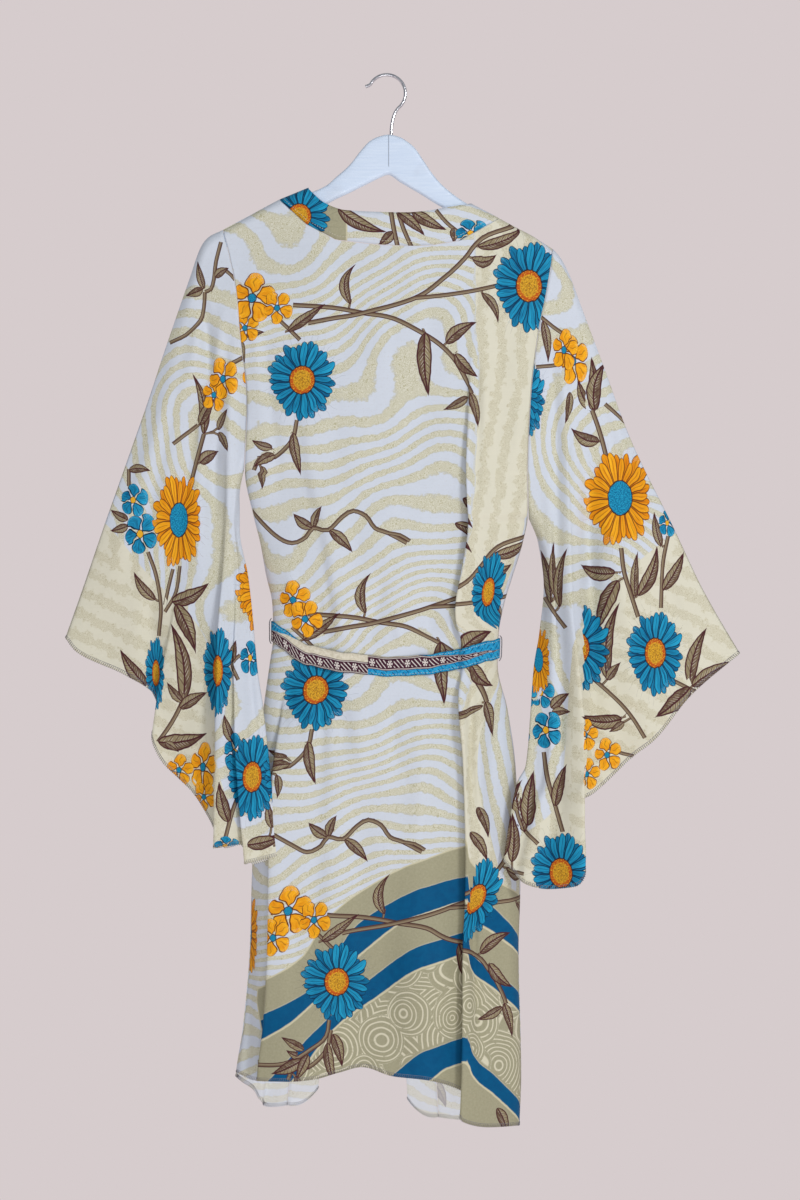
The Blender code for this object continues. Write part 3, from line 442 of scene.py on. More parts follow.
LEFT_CUFF_GROUND = (60, 470, 85, 505, 113, 531, 146, 572, 172, 598, 206, 640, 218, 770, 246, 838, 300, 850)

RIGHT_SLEEVE_BLOOMS = table(
    Bloom,
    (YELLOW, 573, 361, 15, 24, 20), (YELLOW, 564, 350, 13, 20, 0), (DAISY, 532, 398, 25, 47, 0, -7),
    (SUN, 620, 498, 41, 58, 0), (BLUE, 667, 523, 10, 14, 0), (DAISY, 655, 653, 36, 50, 0),
    (DAISY, 592, 648, 42, 52, 0, -17, 583), (YELLOW, 590, 735, 13, 15, 0, -6, 584),
    (YELLOW, 607, 755, 14, 16, 20), (YELLOW, 590, 774, 13, 15, 0, -4, 584), (BLUE, 541, 693, 12, 15, 0),
    (BLUE, 546, 730, 15, 19, 30), (DAISY, 561, 873, 36, 48, 0), (SUN, 532, 660, 14, 40, 0),
)
RIGHT_SLEEVE_STEMS = table(
    Stem,
    (2.2, (541, 317, 552, 326, 566, 336)), (2.2, (536, 367, 556, 365, 570, 361)),
    (2.6, (592, 410, 597, 424, 602, 440, 607, 460)), (2.2, (605, 404, 614, 412, 627, 424)),
    (2.6, (621, 548, 624, 572, 631, 595, 638, 617)), (2.2, (668, 536, 664, 556, 662, 575, 661, 608)),
    (2.2, (592, 678, 604, 688, 622, 705, 634, 720, 645, 738)), (2.0, (600, 744, 618, 752, 634, 756)),
    (2.2, (672, 680, 690, 689, 700, 694)), (2.2, (545, 597, 554, 612, 566, 628)),
    (2.4, (544, 752, 548, 780, 556, 808, 563, 832)), (2.2, (514, 800, 522, 826, 538, 844)),
    (2.0, (496, 878, 512, 872, 524, 874)),
)
RIGHT_SLEEVE_LEAVES = table(
    Leaf,
    (543, 321, 548, 363, 6, 0.1), (592, 411, 578, 378, 7, 0.2), (592, 410, 591, 356, 8, -0.1),
    (595, 410, 606, 362, 10, 0.3), (570, 392, 565, 424, 5, 0.1), (599, 442, 571, 428, 9, 0.3),
    (615, 573, 580, 564, 10, 0.3), (618, 580, 597, 633, 10, -0.1), (635, 597, 638, 551, 6, 0.1),
    (638, 596, 657, 546, 9, -0.2), (663, 590, 684, 551, 8, -0.1), (661, 546, 654, 512, 6, 0.1),
    (607, 679, 620, 602, 9, 0.2), (607, 680, 621, 662, 6, 0.1), (690, 685, 708, 626, 9, 0.2),
    (692, 686, 736, 661, 9, 0.1), (690, 688, 654, 718, 11, 0.1), (622, 719, 581, 716, 10, 0.3),
    (624, 722, 609, 732, 5, 0.1), (551, 603, 541, 550, 6, -0.1), (556, 598, 554, 542, 5, 0.1),
    (560, 607, 568, 547, 6, 0.2), (551, 708, 570, 693, 7, 0.1), (552, 712, 571, 712, 6, 0.1),
    (555, 806, 567, 764, 8, 0.1), (525, 832, 515, 779, 8, 0.1), (528, 826, 534, 770, 10, 0.1),
    (512, 862, 512, 812, 8, -0.1),
)
RIGHT_CUFF_GROUND = (500, 850, 530, 830, 560, 800, 575, 640, 600, 610, 640, 560, 700, 520, 740, 500)

BAND_BLOOMS = table(
    Bloom,
    (DAISY, 300, 219, 40, 42, 0), (BLUE, 470, 236, 17, 15, 20),
)
BAND_STEMS = table(
    Stem,
    (2.6, (391, 212, 394, 230, 398, 248)), (2.4, (398, 212, 404, 230, 412, 248)),
    (2.2, (436, 210, 446, 222, 458, 232)), (2.2, (462, 247, 480, 238, 506, 226)),
)
BAND_LEAVES = table(
    Leaf,
    (338, 208, 387, 232, 9, -0.2), (393, 232, 378, 246, 7, 0.1), (398, 212, 425, 236, 7, 0.1),
    (412, 211, 447, 230, 8, -0.1), (454, 228, 453, 246, 6, 0.1),
)
# Where the khaki piece of the band ends behind the neck
BAND_KHAKI = (318, 346)

# Each sleeve's print; above its cuff line the ground is marbled, below it ecru
SLEEVE_PRINTS = {
    "left": SleevePrint(
        LEFT_SLEEVE_BLOOMS, LEFT_SLEEVE_STEMS, LEFT_SLEEVE_LEAVES, LEFT_CUFF_GROUND, 0.6, 1.25
    ),
    "right": SleevePrint(
        RIGHT_SLEEVE_BLOOMS, RIGHT_SLEEVE_STEMS, RIGHT_SLEEVE_LEAVES, RIGHT_CUFF_GROUND, 3.4, -1.2
    ),
}
SLEEVE_WAVES_WIDE = 1.35
ECRU_EDGE_SOFT = 0.02
NO_ECRU = 0.0

# Sewing: lengths in mm; the seam's row is the neckband's row of points nearest its seam but one
OVERLOCK_REACH = 3.6
OVERLOCK_HALF_THICK = 0.62
OVERLOCK_SLANT = 0.35
TOPSTITCH_PITCH = 3.1
TOPSTITCH_LENGTH = 2.2
SEAM_ROW = 1
# Thread loops of the belt: the thread's radius, and how far the loop stands off cloth and belt
LOOP_THREAD = 0.34
LOOP_OFF_CLOTH = 1.4
LOOP_OVER_BELT = 1.1
LOOP_PAST_BELT = 3.0  # above and below the belt's edges
LOOP_TWIST = 34.0  # radians from its middle to an end

# The flat cut of each piece that shows, in mm, with its area where it isn't a rectangle (in square metres)
CUTS = (
    Cut("back_cloth", 420, 1000, 0.325, "hung", ("painted_hanger",), ("back_hem_overlock",)),
    Cut("left_front_cloth", 160, 1045, 0.120, "hung", ("painted_hanger",), ("left_front_hem_overlock",)),
    Cut("right_front_cloth", 155, 1025, 0.125, "hung", ("painted_hanger",), ("right_front_hem_overlock",)),
    Cut("left_sleeve_cloth", 825, 500, 0.180, "hung", ("back_cloth",), ("left_cuff_overlock",)),
    Cut("right_sleeve_cloth", 875, 510, 0.190, "hung", ("back_cloth",), ("right_cuff_overlock",)),
    Cut("neckband_cloth", 36, 2320, None, "hung", ("back_cloth",),
        ("left_band_hem_overlock", "right_band_hem_overlock", "neckband_topstitch")),
    Cut("belt_ring", 22, 580, None, "hung", ("back_cloth",),
        ("belt_upper_topstitch", "belt_lower_topstitch")),
    Cut("belt_tail_left", 22, 320, None, "hung", ("wrapped_belt_knot",), ()),
    Cut("belt_tail_right", 22, 362, None, "hung", ("wrapped_belt_knot",), ()),
)

# Soft creases, given one by one: a line in picture points, its width in mm and how far it stands out
PULL_DEPTH = 2.0
# How far a crease wanders off its line, and the shares over which it fades in and out
PULL_WANDERS = 2.5
PULL_FADES = (0.35, 0.45)
BACK_PULLS = table(
    Pull,
    (300, 636, 290, 560, 7, 1.6), (318, 640, 322, 590, 6, -1.2), (345, 645, 340, 585, 7, 1.3),
    (372, 650, 380, 560, 9, -1.5), (400, 650, 398, 600, 6, 1.2), (426, 648, 436, 570, 8, -1.4),
    (448, 646, 450, 596, 6, 1.4), (290, 672, 283, 740, 8, -1.8), (312, 678, 306, 760, 8, 1.8),
    (338, 680, 342, 770, 9, -1.5), (362, 682, 358, 800, 10, 1.6), (392, 684, 398, 790, 9, -1.6),
    (420, 682, 418, 860, 12, 1.8), (446, 680, 450, 780, 9, -1.8), (340, 800, 336, 1040, 14, 1.8),
    (385, 840, 390, 1070, 16, -2.0), (440, 870, 446, 1075, 14, 2.0), (300, 860, 290, 1060, 12, -1.8),
    (246, 250, 268, 420, 9, 1.6), (262, 300, 278, 520, 8, -1.6), (540, 300, 516, 430, 9, -1.6),
    (526, 340, 508, 500, 8, 1.6), (497, 300, 492, 560, 10, -1.8), (300, 250, 372, 300, 10, 0.8),
    (470, 250, 420, 300, 10, 0.8), (380, 262, 384, 420, 14, 0.9), (430, 262, 436, 420, 12, -0.8),
    (492, 690, 494, 850, 9, -3.0), (507, 700, 509, 1090, 7, 1.8), (486, 900, 488, 1110, 7, -1.6),
    (252, 830, 250, 1120, 6, -4.0), (474, 650, 472, 870, 5, -4.5), (474, 850, 480, 1110, 5, -4.5),
    (477, 330, 474, 560, 5, -3.0),
)
SLEEVE_PULLS = table(
    Pull,
    (215, 250, 150, 560, 8, 1.5), (222, 270, 170, 610, 7, -1.6), (205, 330, 120, 600, 10, -1.3),
    (190, 330, 100, 620, 10, 1.2), (228, 300, 206, 600, 7, -2.6), (236, 330, 224, 620, 6, 2.0),
    (232, 480, 230, 820, 7, -2.0), (246, 520, 262, 840, 7, -1.8), (250, 600, 270, 830, 5, 1.5),
    (184, 560, 178, 760, 9, 2.4), (150, 590, 160, 760, 10, -3.0), (205, 275, 211, 440, 7, -3.2),
    (213, 420, 221, 660, 15, -6.0), (220, 600, 205, 840, 12, -5.0), (594, 420, 590, 820, 11, -5.5),
    (160, 560, 142, 690, 8, -1.4), (570, 270, 640, 560, 8, -1.4), (576, 300, 680, 600, 10, 1.3),
    (560, 290, 590, 560, 7, 1.8), (566, 330, 606, 700, 8, -1.8), (600, 420, 640, 700, 9, 1.4),
    (640, 500, 690, 660, 9, -1.2), (552, 300, 560, 700, 6, -2.0), (546, 420, 552, 860, 6, 1.7),
    (560, 560, 566, 870, 5, -1.5), (534, 700, 526, 860, 6, -1.6),
)
FRONT_PULLS = table(
    Pull,
    (470, 640, 500, 500, 9, 2.0), (440, 640, 452, 520, 8, -1.8), (340, 640, 318, 500, 9, -2.0),
    (300, 640, 292, 540, 8, 1.8), (360, 660, 352, 820, 9, 1.8), (322, 660, 306, 840, 9, -2.0),
    (288, 660, 276, 900, 10, 1.8), (430, 660, 440, 820, 9, -1.8), (466, 660, 480, 860, 10, 2.0),
    (498, 660, 506, 900, 9, -1.8), (250, 240, 290, 420, 10, 1.5), (540, 260, 490, 430, 10, -1.5),
)

# Creases of the belt's knot, each a soft groove along a line across its face, in shares of its half size
KNOT_CREASES = table(KnotCrease, (0.10, 0.13, 0.8, 0.6, 0.0), (0.06, 0.12, 0.5, -0.9, 0.35))
# Where the belt's print changes from left to middle and from middle to right, in metres across
BELT_PRINT_CHANGES = (-0.022, 0.033)

# Studio, in metres: the sweep's line from floor to wall, half its width, and where the lights aim
SWEEP = ((-4.2, -2.0), (2.7, -2.0), (3.0, -1.95), (3.23, -1.78), (3.35, -1.45), (3.35, 3.6))
SWEEP_HALF = 6.5
LIGHTS_AIM = (0, 0, -0.55)

# Names of the kinds of node sockets
VECTOR, COLOUR, VALUE = "NodeSocketVector", "NodeSocketColor", "NodeSocketFloat"

# Marbled ground: sine waves over the cloth, by how often each runs across and down a repeat
WAVE_PITCH = 0.0205
# Beyond this height down the cloth the stripes lie closer, by so many more a metre
WAVE_FINER = (0.62, 20.0)
WAVE_ROOM = (0.45, 0.338)
GROUND_WAVES = table(
    Wave,
    (2.0, 1, 0, -0.64), (0.6, 2, 0, -1.7), (0.9, 1, 1, 0.9), (0.75, 1, 2, 2.2), (0.35, 2, -1, 4.0),
    (0.22, 3, 2, 1.0), (0.15, 5, -2, 5.0),
)


def smoothly(xs, ys, at):
    """A value at a place, running smoothly from point to point without overshoot."""
    xs, ys = np.array(xs, float), np.array(ys, float)
    if xs[0] > xs[-1]:
        xs, ys = xs[::-1], ys[::-1]
    steps = np.diff(xs)
    slopes = np.diff(ys) / steps
    tangents = np.zeros_like(ys)
    tangents[0], tangents[-1] = slopes[0], slopes[-1]
    before, after = slopes[:-1], slopes[1:]
    same_way = before * after > 0
    tangents[1:-1][same_way] = (2 * before * after)[same_way] / (before + after)[same_way]
    at = np.clip(at, xs[0], xs[-1])
    i = np.clip(np.searchsorted(xs, at) - 1, 0, len(xs) - 2)
    t = (at - xs[i]) / steps[i]
    start, end = ys[i], ys[i + 1]
    pull = steps[i] * (tangents[i] * t * (1 - t) ** 2 - tangents[i + 1] * t**2 * (1 - t))
    return start + (end - start) * t**2 * (3 - 2 * t) + pull


def between(rows, key, value, at):
    """A table's value at a place in its key column."""
    return smoothly([getattr(row, key) for row in rows], [getattr(row, value) for row in rows], at)


def ease(t):
    """From 0 to 1 without a corner at either end."""
    t = np.clip(t, 0, 1)
    return t * t * (3 - 2 * t)


def rounding(t):
    """A quarter circle: steep at 0, level from 1 on."""
    return np.sqrt(1 - (1 - np.clip(t, 0, 1)) ** 2)


def seen_from_behind(x, y, height):
    """Draws a point in towards the sight line, so that it shows where the outlines say."""
    scale = 1 + y / VIEW_DISTANCE
    new_x = VIEW_X + (x - VIEW_X) * scale
    new_height = VIEW_HEIGHT + (height - VIEW_HEIGHT) * scale
    return np.stack([new_x, y, new_height], axis=-1)


def levels():
    """Rows down a panel: 0 top edge, 1 underarm, 2 and 3 the belt's edges, 4 hem."""
    round_share = SHOULDER_ROUND / (BACK_TOP[0].height - UNDERARM_LINE[0].height)
    ridge = round_share * (1 - np.cos(np.linspace(0, math.pi / 2, RIDGE_ROWS + 1)))[:-1]
    top = round_share + (1 - round_share) * np.linspace(0, 1, TOP_ROWS + 1)[:-1]
    chest = 1 + np.linspace(0, 1, CHEST_ROWS + 1)[:-1]
    belt = 2 + np.linspace(0, 1, BELT_ROWS + 1)[:-1]
    skirt = 3 + np.linspace(0, 1, SKIRT_ROWS + 1)
    return np.concatenate([ridge, top, chest, belt, skirt])


def height_at(level, top, underarm, belt, hem):
    """Height of a row between the cross lines."""
    lines = np.stack([top, underarm, belt + BELT_WIDTH / 2, belt - BELT_WIDTH / 2, hem])
    i = np.clip(level.astype(int), 0, 3)
    part = level - i
    columns = np.broadcast_to(np.arange(lines.shape[1]), level.shape)
    return lines[i, columns] * (1 - part) + lines[i + 1, columns] * part


def top_edge(x):
    """Height of the body's top edge at a place across it."""
    return np.interp(x, [point.x for point in BACK_TOP], [point.height for point in BACK_TOP])


def closer_at_ends(count, closeness):
    """Shares from 0 to 1, in steps that are shorter at both ends."""
    even = np.linspace(0, 1, count + 1)
    return closeness * (0.5 - 0.5 * np.cos(math.pi * even)) + (1 - closeness) * even


def armhole_half_depth(below_top, above_underarm):
    """Half the width of the armhole loop, rounded over the hanger and at the underarm."""
    rounded = SHOULDER_ROUND * rounding(below_top / SHOULDER_ROUND)
    grown = rounded + (ARMHOLE_DEPTH - SHOULDER_ROUND) * ease(below_top / ARMHOLE_FULL_BELOW)
    return grown * rounding(above_underarm / UNDERARM_ROUND)


def standing_out(height, below_top, column):
    """How far a panel stands from the hanger's plane away from its sides."""
    full = between(DEPTHS, "height", column, height)
    rounded = SHOULDER_ROUND * rounding(below_top / SHOULDER_ROUND)
    return rounded + (full - SHOULDER_ROUND) * ease(below_top / PANEL_FULL_BELOW)


def rounded_across(from_middle):
    """How full a panel stands out across it: 1 in its middle and 0 at its sides."""
    return (1 - from_middle**PANEL_ROUND) ** (1 / PANEL_ROUND)


def across_panel(share, height, top_x, top, start, end):
    """A panel's places across, from its start line to its end line and along its own top edge."""
    low, high = (between(rows, "height", column, height) for rows, column in (start, end))
    top_low, top_high = (between(rows, "height", column, top) for rows, column in (start, end))
    x = low + share * (high - low)
    return x + (top_x - top_low - share * (top_high - top_low)) * ease(1 - (top - height) / TOP_FITS_FOR)


def crest(from_crest, fold):
    """A fold's shape across it: it climbs over its rise to 1 and falls again over its fall."""
    climbing = ease(1 + from_crest / fold.rise) * (from_crest < 0)
    return climbing + ease(1 - from_crest / fold.fall) * (from_crest >= 0)


def folded(folds, share, height):
    """Sideways and outward shift that the folds give a panel's point."""
    calm = np.exp(-(((height - FOLD_LEVELS[1]) / BELT_CALMS) ** 2))
    sideways = np.zeros_like(height)
    outward = np.zeros_like(height)
    for fold in folds:
        place = smoothly(FOLD_LEVELS, (fold.hem, fold.waist, fold.top), height)
        bump = crest(share - place, fold)
        strength = ease((height - fold.starts) / (fold.full - fold.starts))
        outward += fold.lift * bump * strength * (1 - 0.6 * calm)
        sideways += fold.lean * bump * strength * (1 - calm)
    return sideways, outward


def back_columns(count):
    """Shares across the back panel, closer at its sides and with one at each neck point."""
    shares = closer_at_ends(count, 0.55)
    left, right = BACK_TOP[0].x, BACK_TOP[-1].x
    close = []
    for half in HALVES.values():
        share = (half.neck.x - left) / (right - left)
        shares[np.argmin(np.abs(shares - share))] = share
        close += [share - half.side * gap / (right - left) for gap in NECK_COLUMN_GAPS]
    return np.sort(np.concatenate([shares, close]))


def back_points(shares, rows):
    """The back panel's points, row by row from shoulders and neck to the hem."""
    share, level = np.meshgrid(shares, rows)
    left, right = BACK_TOP[0].x, BACK_TOP[-1].x
    top_x = left + (right - left) * shares
    top = top_edge(top_x)
    lines = [between(line, "share", "height", shares) for line in (UNDERARM_LINE, BELT_LINE, BACK_HEM)]
    height = height_at(level, top, *lines)
    x = across_panel(share, height, top_x, top, (BODY_SIDES, "left"), (BODY_SIDES, "right"))

    neck = (top_x - LEFT_NECK_POINT.x) / (RIGHT_NECK_POINT.x - LEFT_NECK_POINT.x)
    inside = np.minimum(top_x - LEFT_NECK_POINT.x, RIGHT_NECK_POINT.x - top_x)
    neck_height = np.where(neck < 0.5, LEFT_NECK_POINT.height, RIGHT_NECK_POINT.height)
    ridge = np.minimum(neck_height + NECK_RIDGE_SLOPE * inside, NECK_RIDGE_TOP)
    ridge = np.where(inside > 0, ridge, top)
    bulge = BACK_NECK_BULGE * np.sin(math.pi * np.clip(neck, 0, 1))
    bulge = bulge * np.exp((height - top) / NECK_BULGE_FADES)
    full = standing_out(height, ridge - height, "back") + bulge
    underarm_height = np.where(share < 0.5, UNDERARM_LINE[0].height, UNDERARM_LINE[1].height)
    side = armhole_half_depth(ridge - height, height - underarm_height)
    sideways, outward = folded(BACK_FOLDS, share, height)
    y = -(SEAM + side + (full - side) * rounded_across(np.abs(2 * share - 1)) + outward)
    return seen_from_behind(x + sideways, y, height)


def front_points(which, shares, rows):
    """A front panel's points, from the side seam to the front edge and from shoulder to hem."""
    half = HALVES[which]
    share, level = np.meshgrid(shares, rows)
    top_x = half.shoulder.x + (half.neck.x - half.shoulder.x) * shares
    top = top_edge(top_x)
    underarm = half.underarm + (FRONT_UNDERARM - half.underarm) * shares
    belt = half.belt + (FRONT_BELT - half.belt) * ease(shares)
    hem = between(half.front_hem, "share", "height", shares)
    height = height_at(level, top, underarm, belt, hem)
    x = across_panel(share, height, top_x, top, (BODY_SIDES, which), (FRONT_EDGES, which))
    below_top = top - height
    full = standing_out(height, below_top, "front")
    full = full + half.overlap * ease(below_top / PANEL_FULL_BELOW)
    side = armhole_half_depth(below_top, height - half.underarm)
    across = rounded_across(1 - np.clip(share / FRONT_ROUND_WIDE, 0, 1))
    sideways, outward = folded(half.front_folds, share, height)
    y = SEAM + side + (full - side) * across + outward
    return seen_from_behind(x + sideways, y, height)


def sleeve_layer(which, shares, rows, is_back):
    """One layer of a sleeve, from armhole to cuff by rows and from outer to inner edge by shares."""
    half = HALVES[which]
    outer, inner, cuff = half.outer, half.inner, half.cuff
    share, along = np.meshgrid(shares, rows)

    top, underarm = outer[0].height, inner[0].height
    arm_height = top + (underarm - top) * (0.5 - 0.5 * np.cos(math.pi * share))
    arm_x = between(BODY_SIDES, "height", which, arm_height)
    flat = {}
    for column, arm in (("x", arm_x), ("height", arm_height)):
        out = between(outer, "share", column, along)
        into = between(inner, "share", column, along)
        cuff_line = between(cuff, "share", column, share)
        arm_straight = getattr(outer[0], column) * (1 - share) + getattr(inner[0], column) * share
        cuff_straight = getattr(cuff[0], column) * (1 - share) + getattr(cuff[-1], column) * share
        flat[column] = (
            out * (1 - share) + into * share + (arm - arm_straight) * (1 - along)
            + (cuff_line - cuff_straight) * along
        )

    depth = armhole_half_depth(top - arm_height, arm_height - underarm)
    cuff_depth = CUFF_HALF_DEPTH * np.sin(math.pi * share) ** 0.5
    depth = depth * (1 - ease(along)) + cuff_depth * ease(along)
    swing = SLEEVE_SWING * ease((along - SWING_FROM[0]) / SWING_OVER[0])
    swing = swing * ease((share - SWING_FROM[1]) / SWING_OVER[1])
    sideways = np.zeros_like(share)
    outward = np.zeros_like(share)
    for crease in half.creases if is_back else HIDDEN_CREASES:
        middle = crease.armhole * (1 - along) ** 2 + crease.cuff * along**2
        bump = crest(share - (middle + crease.middle * 2 * along * (1 - along)), crease)
        strength = ease((along - crease.starts) / max(0.25, 0.75 - crease.starts))
        outward += crease.lift * bump * strength
        sideways += crease.lean * bump * strength
    toward_viewer = -1 if is_back else 1
    y = -swing + toward_viewer * depth - (outward if is_back else 0.3 * outward)
    away = 2 * SEAM + (2 * WALL - SEAM) * share**6 * (1 - ease(along / 0.1))
    return seen_from_behind(flat["x"] + sideways + half.side * away, y, flat["height"])


def front_shares():
    """Shares across a front panel, closer at the side seam."""
    return np.linspace(0, 1, FRONT_COLUMNS + 1) ** 1.5


def band_from(seam, free):
    """Rows of points from the seam to the free edge of the band, just clear of the seam."""
    way = free - seam
    length = np.linalg.norm(way, axis=1, keepdims=True)
    start = seam + way / length * 2 * SEAM
    steps = np.linspace(0, 1, BAND_COLUMNS + 1)[None, :, None]
    points = start[:, None] * (1 - steps) + free[:, None] * steps
    near_hem = ease((seam[[0, -1], 2].max() + BAND_SAGS_ABOVE - seam[:, 2]) / BAND_SAGS_ABOVE)
    points[:, :, 2] -= BAND_SAG * near_hem[:, None] * (steps * (1 - steps) * 4)[:, :, 0]
    return points


def front_band_free(which, seam):
    """The band's free edge down a front: one width from the seam, towards the middle."""
    half = HALVES[which]
    run = np.gradient(seam, axis=0)
    run[:, 1] = 0
    run /= np.linalg.norm(run, axis=1, keepdims=True)
    inward = np.stack([-run[:, 2], np.zeros(len(run)), run[:, 0]], axis=1) * -half.side
    first = half.band_free
    shoulder_way = np.array([first.free_x - first.seam_x, 0, first.free_height - seam[0, 2]])
    shoulder_way /= np.linalg.norm(shoulder_way)
    near = (1 - ease((seam[0, 2] - seam[:, 2]) / BAND_TURNS_BELOW))[:, None]
    way = shoulder_way * near + inward * (1 - near)
    way /= np.linalg.norm(way, axis=1, keepdims=True)
    free = seam + way * BAND_WIDTH
    free[:, 2] += BAND_HEM_RISE * ease((seam[-1, 2] + BAND_HEM_TURNS - seam[:, 2]) / BAND_HEM_TURNS)
    return free


def moved_out(ring, distance):
    """The points of a closed ring moved level and outwards from the robe."""
    run = np.roll(ring, -1, axis=0) - np.roll(ring, 1, axis=0)
    out = np.stack([run[:, 1], -run[:, 0], np.zeros(len(run))], axis=1)
    out /= np.linalg.norm(out, axis=1, keepdims=True)
    return ring + out * distance


def belt_rings():
    """Rings of the belt's middle, from its upper to its lower edge, begun and closed in front."""
    rows = 2 + np.linspace(0, 1, BELT_ROWS + 1)
    away = WALL / 2 + BELT_CLEAR + BELT_THICK / 2
    shares = front_shares()
    left, right = (front_points(which, shares, rows) for which in HALVES)
    right[:, :, 1] += FRONT_OVERLAP * ease(shares / BELT_LEVELS_OVER)
    back = back_points(back_columns(BACK_COLUMNS), rows)
    middle = len(rows) // 2
    on_left = left[middle][:, 0] < 0
    on_right = right[middle][:, 0] > BELT_FRONT_GAP
    rings = []
    for k in range(len(rows)):
        ring = np.concatenate([left[k][on_left][:0:-1], back[k], right[k][on_right][1:]])
        rings.append(moved_out(ring, away))
    return np.array(rings)


def knot_place(rings):
    """The knot's middle: on the belt's outer face in front."""
    front = rings[rings[:, :, 1] > 0]
    outer_face = front[np.abs(front[:, 0]) < KNOT_SIZE[0]][:, 1].max() + BELT_THICK / 2
    return np.array([0.0, outer_face + SEAM + KNOT_SIZE[1] / 2, FRONT_BELT])


def hook_line():
    """The hook's centre line, level by level: stem, neck bend, round crown and tip."""
    centre_height = HOOK_WIRE / 2 - HOOK_RADIUS
    angles = np.radians(np.linspace(*HOOK_ARC, HOOK_ARC_POINTS))
    crown = [
        (HOOK_CENTRE_X + HOOK_RADIUS * math.cos(a), centre_height + HOOK_RADIUS * math.sin(a)) for a in angles
    ]
    return np.array([*HOOK_STEM, *crown, *HOOK_TIP])


def hanger_planks():
    """Columns of the hanger from tip to tip: under the cloth its top follows the shoulders."""
    left = [arm_plank("left", part) for part in LEFT_ARM_PARTS]
    right = [arm_plank("right", part) for part in RIGHT_ARM_PARTS]
    return [*left, *LEFT_PLANKS, MIDDLE_PLANK, *RIGHT_PLANKS, *right]


def arm_plank(which, part):
    """One column of a hidden arm, by its share of the way from the tip, rounded off at the tip."""
    half = HALVES[which]
    x = half.tip + (half.shown_plank.x - half.tip) * part
    if abs(x) < abs(half.neck.x):
        part_in = (x - half.neck.x) / (half.shown_plank.x - half.neck.x)
        top = (half.neck.height - HANGER_UNDER_CLOTH) * (1 - part_in) + half.shown_plank.top * part_in
    elif abs(x) < abs(half.outer[0].x):
        top = top_edge(x) - HANGER_UNDER_CLOTH
    else:
        top = between(half.outer[:3], "x", "height", x) - HANGER_UNDER_CLOTH
    grown = rounding(part / HANGER_FULL_FROM)
    tall = HANGER_ARM_HEIGHT * (HANGER_TIP_SHARE + (1 - HANGER_TIP_SHARE) * grown)
    drop = (HANGER_ARM_HEIGHT - tall) * HANGER_TOP_SHARE
    return Plank(x, top - drop, top - drop - tall)


def plank_section(plank):
    """The rounded outline of the hanger across one column, all round it."""
    corner = HANGER_BEVEL
    ring = []
    for side, up, turn in ((1, 1, 0), (1, -1, 90), (-1, -1, 180), (-1, 1, 270)):
        y = side * (HANGER_THICK / 2 - corner)
        height = plank.top - corner if up > 0 else plank.bottom + corner
        for step in (0, 45, 90):
            angle = math.radians(90 - turn - step)
            ring.append((plank.x, y + corner * math.cos(angle), height + corner * math.sin(angle)))
    return ring


def neckband_points():
    """Rows of the neckband from its seam to its free edge, along both fronts and the back neck."""
    left, right = (front_points(which, np.array([1.0]), levels())[:, 0] for which in HALVES)
    shares = back_columns(BACK_COLUMNS)
    width = BACK_TOP[-1].x - BACK_TOP[0].x
    first, last = ((half.neck.x - BACK_TOP[0].x) / width for half in HALVES.values())
    neck_shares = shares[(shares > first + 0.001) & (shares < last - 0.001)]
    back = back_points(neck_shares, np.array([0.0]))[0]
    free_x = between(BACK_BAND_FREE, "seam_x", "free_x", back[:, 0])
    free_height = between(BACK_BAND_FREE, "seam_x", "free_height", back[:, 0])
    back_free = seen_from_behind(free_x, back[:, 1], free_height)
    left_ridge, right_ridge = (front[:1] * [1, 0, 1] for front in (left, right))
    seam = np.concatenate([left[:0:-1], left_ridge, back, right_ridge, right[1:]])
    free = np.concatenate([front_band_free("left", left)[::-1], back_free, front_band_free("right", right)])
    free[[len(left) - 1, len(left) + len(back)], 1] = 0
    return band_from(seam, free)


def picture_places(points):
    """Where points show in the picture, seen square on from behind."""
    scale = VIEW_DISTANCE / (VIEW_DISTANCE + points[..., 1]) / PICTURE_POINT
    across = PICTURE_MIDDLE[0] + (points[..., 0] - VIEW_X) * scale
    down = PICTURE_MIDDLE[1] - (points[..., 2] - VIEW_HEIGHT) * scale
    return np.stack([across, down], axis=-1)


def pulled(points, pulls, out):
    """Points with soft creases set along given lines of the picture."""
    places = picture_places(points)
    moved = points.copy()
    for pull in pulls:
        start = np.array([pull.x, pull.y], float)
        way = np.array([pull.end_x, pull.end_y], float) - start
        length = np.hypot(*way)
        along = ((places - start) @ way) / length**2
        off = (places - start) @ np.array([-way[1], way[0]]) / length * PICTURE_POINT
        wander = PULL_WANDERS * np.sin(along * 5 + pull.x)
        profile = np.exp(-(((off + wander) / pull.wide) ** 2))
        fade = ease(along / PULL_FADES[0]) * ease((1 - along) / PULL_FADES[1])
        moved[..., 1] += out * pull.lift * PULL_DEPTH * profile * fade
    return moved


def crumpled(points, seed):
    """Points with a faint uneven swell, as soft cloth has everywhere."""
    swell = np.zeros(points.shape[:2])
    for k in range(1, 8):
        turn = 2.4 * k + seed
        reach = 150 / (1 + 0.7 * k)
        run = points[..., 0] * math.cos(turn) * 1.4 + points[..., 2] * math.sin(turn) * 0.6
        bent = 1.3 * np.sin(points[..., 2] / 90 + k)
        swell += np.sin(run / reach * 2 * math.pi / 2.2 + seed * k + bent) / k
    moved = points.copy()
    moved[..., 1] += bpy.context.scene.robe_cloth.swell / MM * swell
    return moved


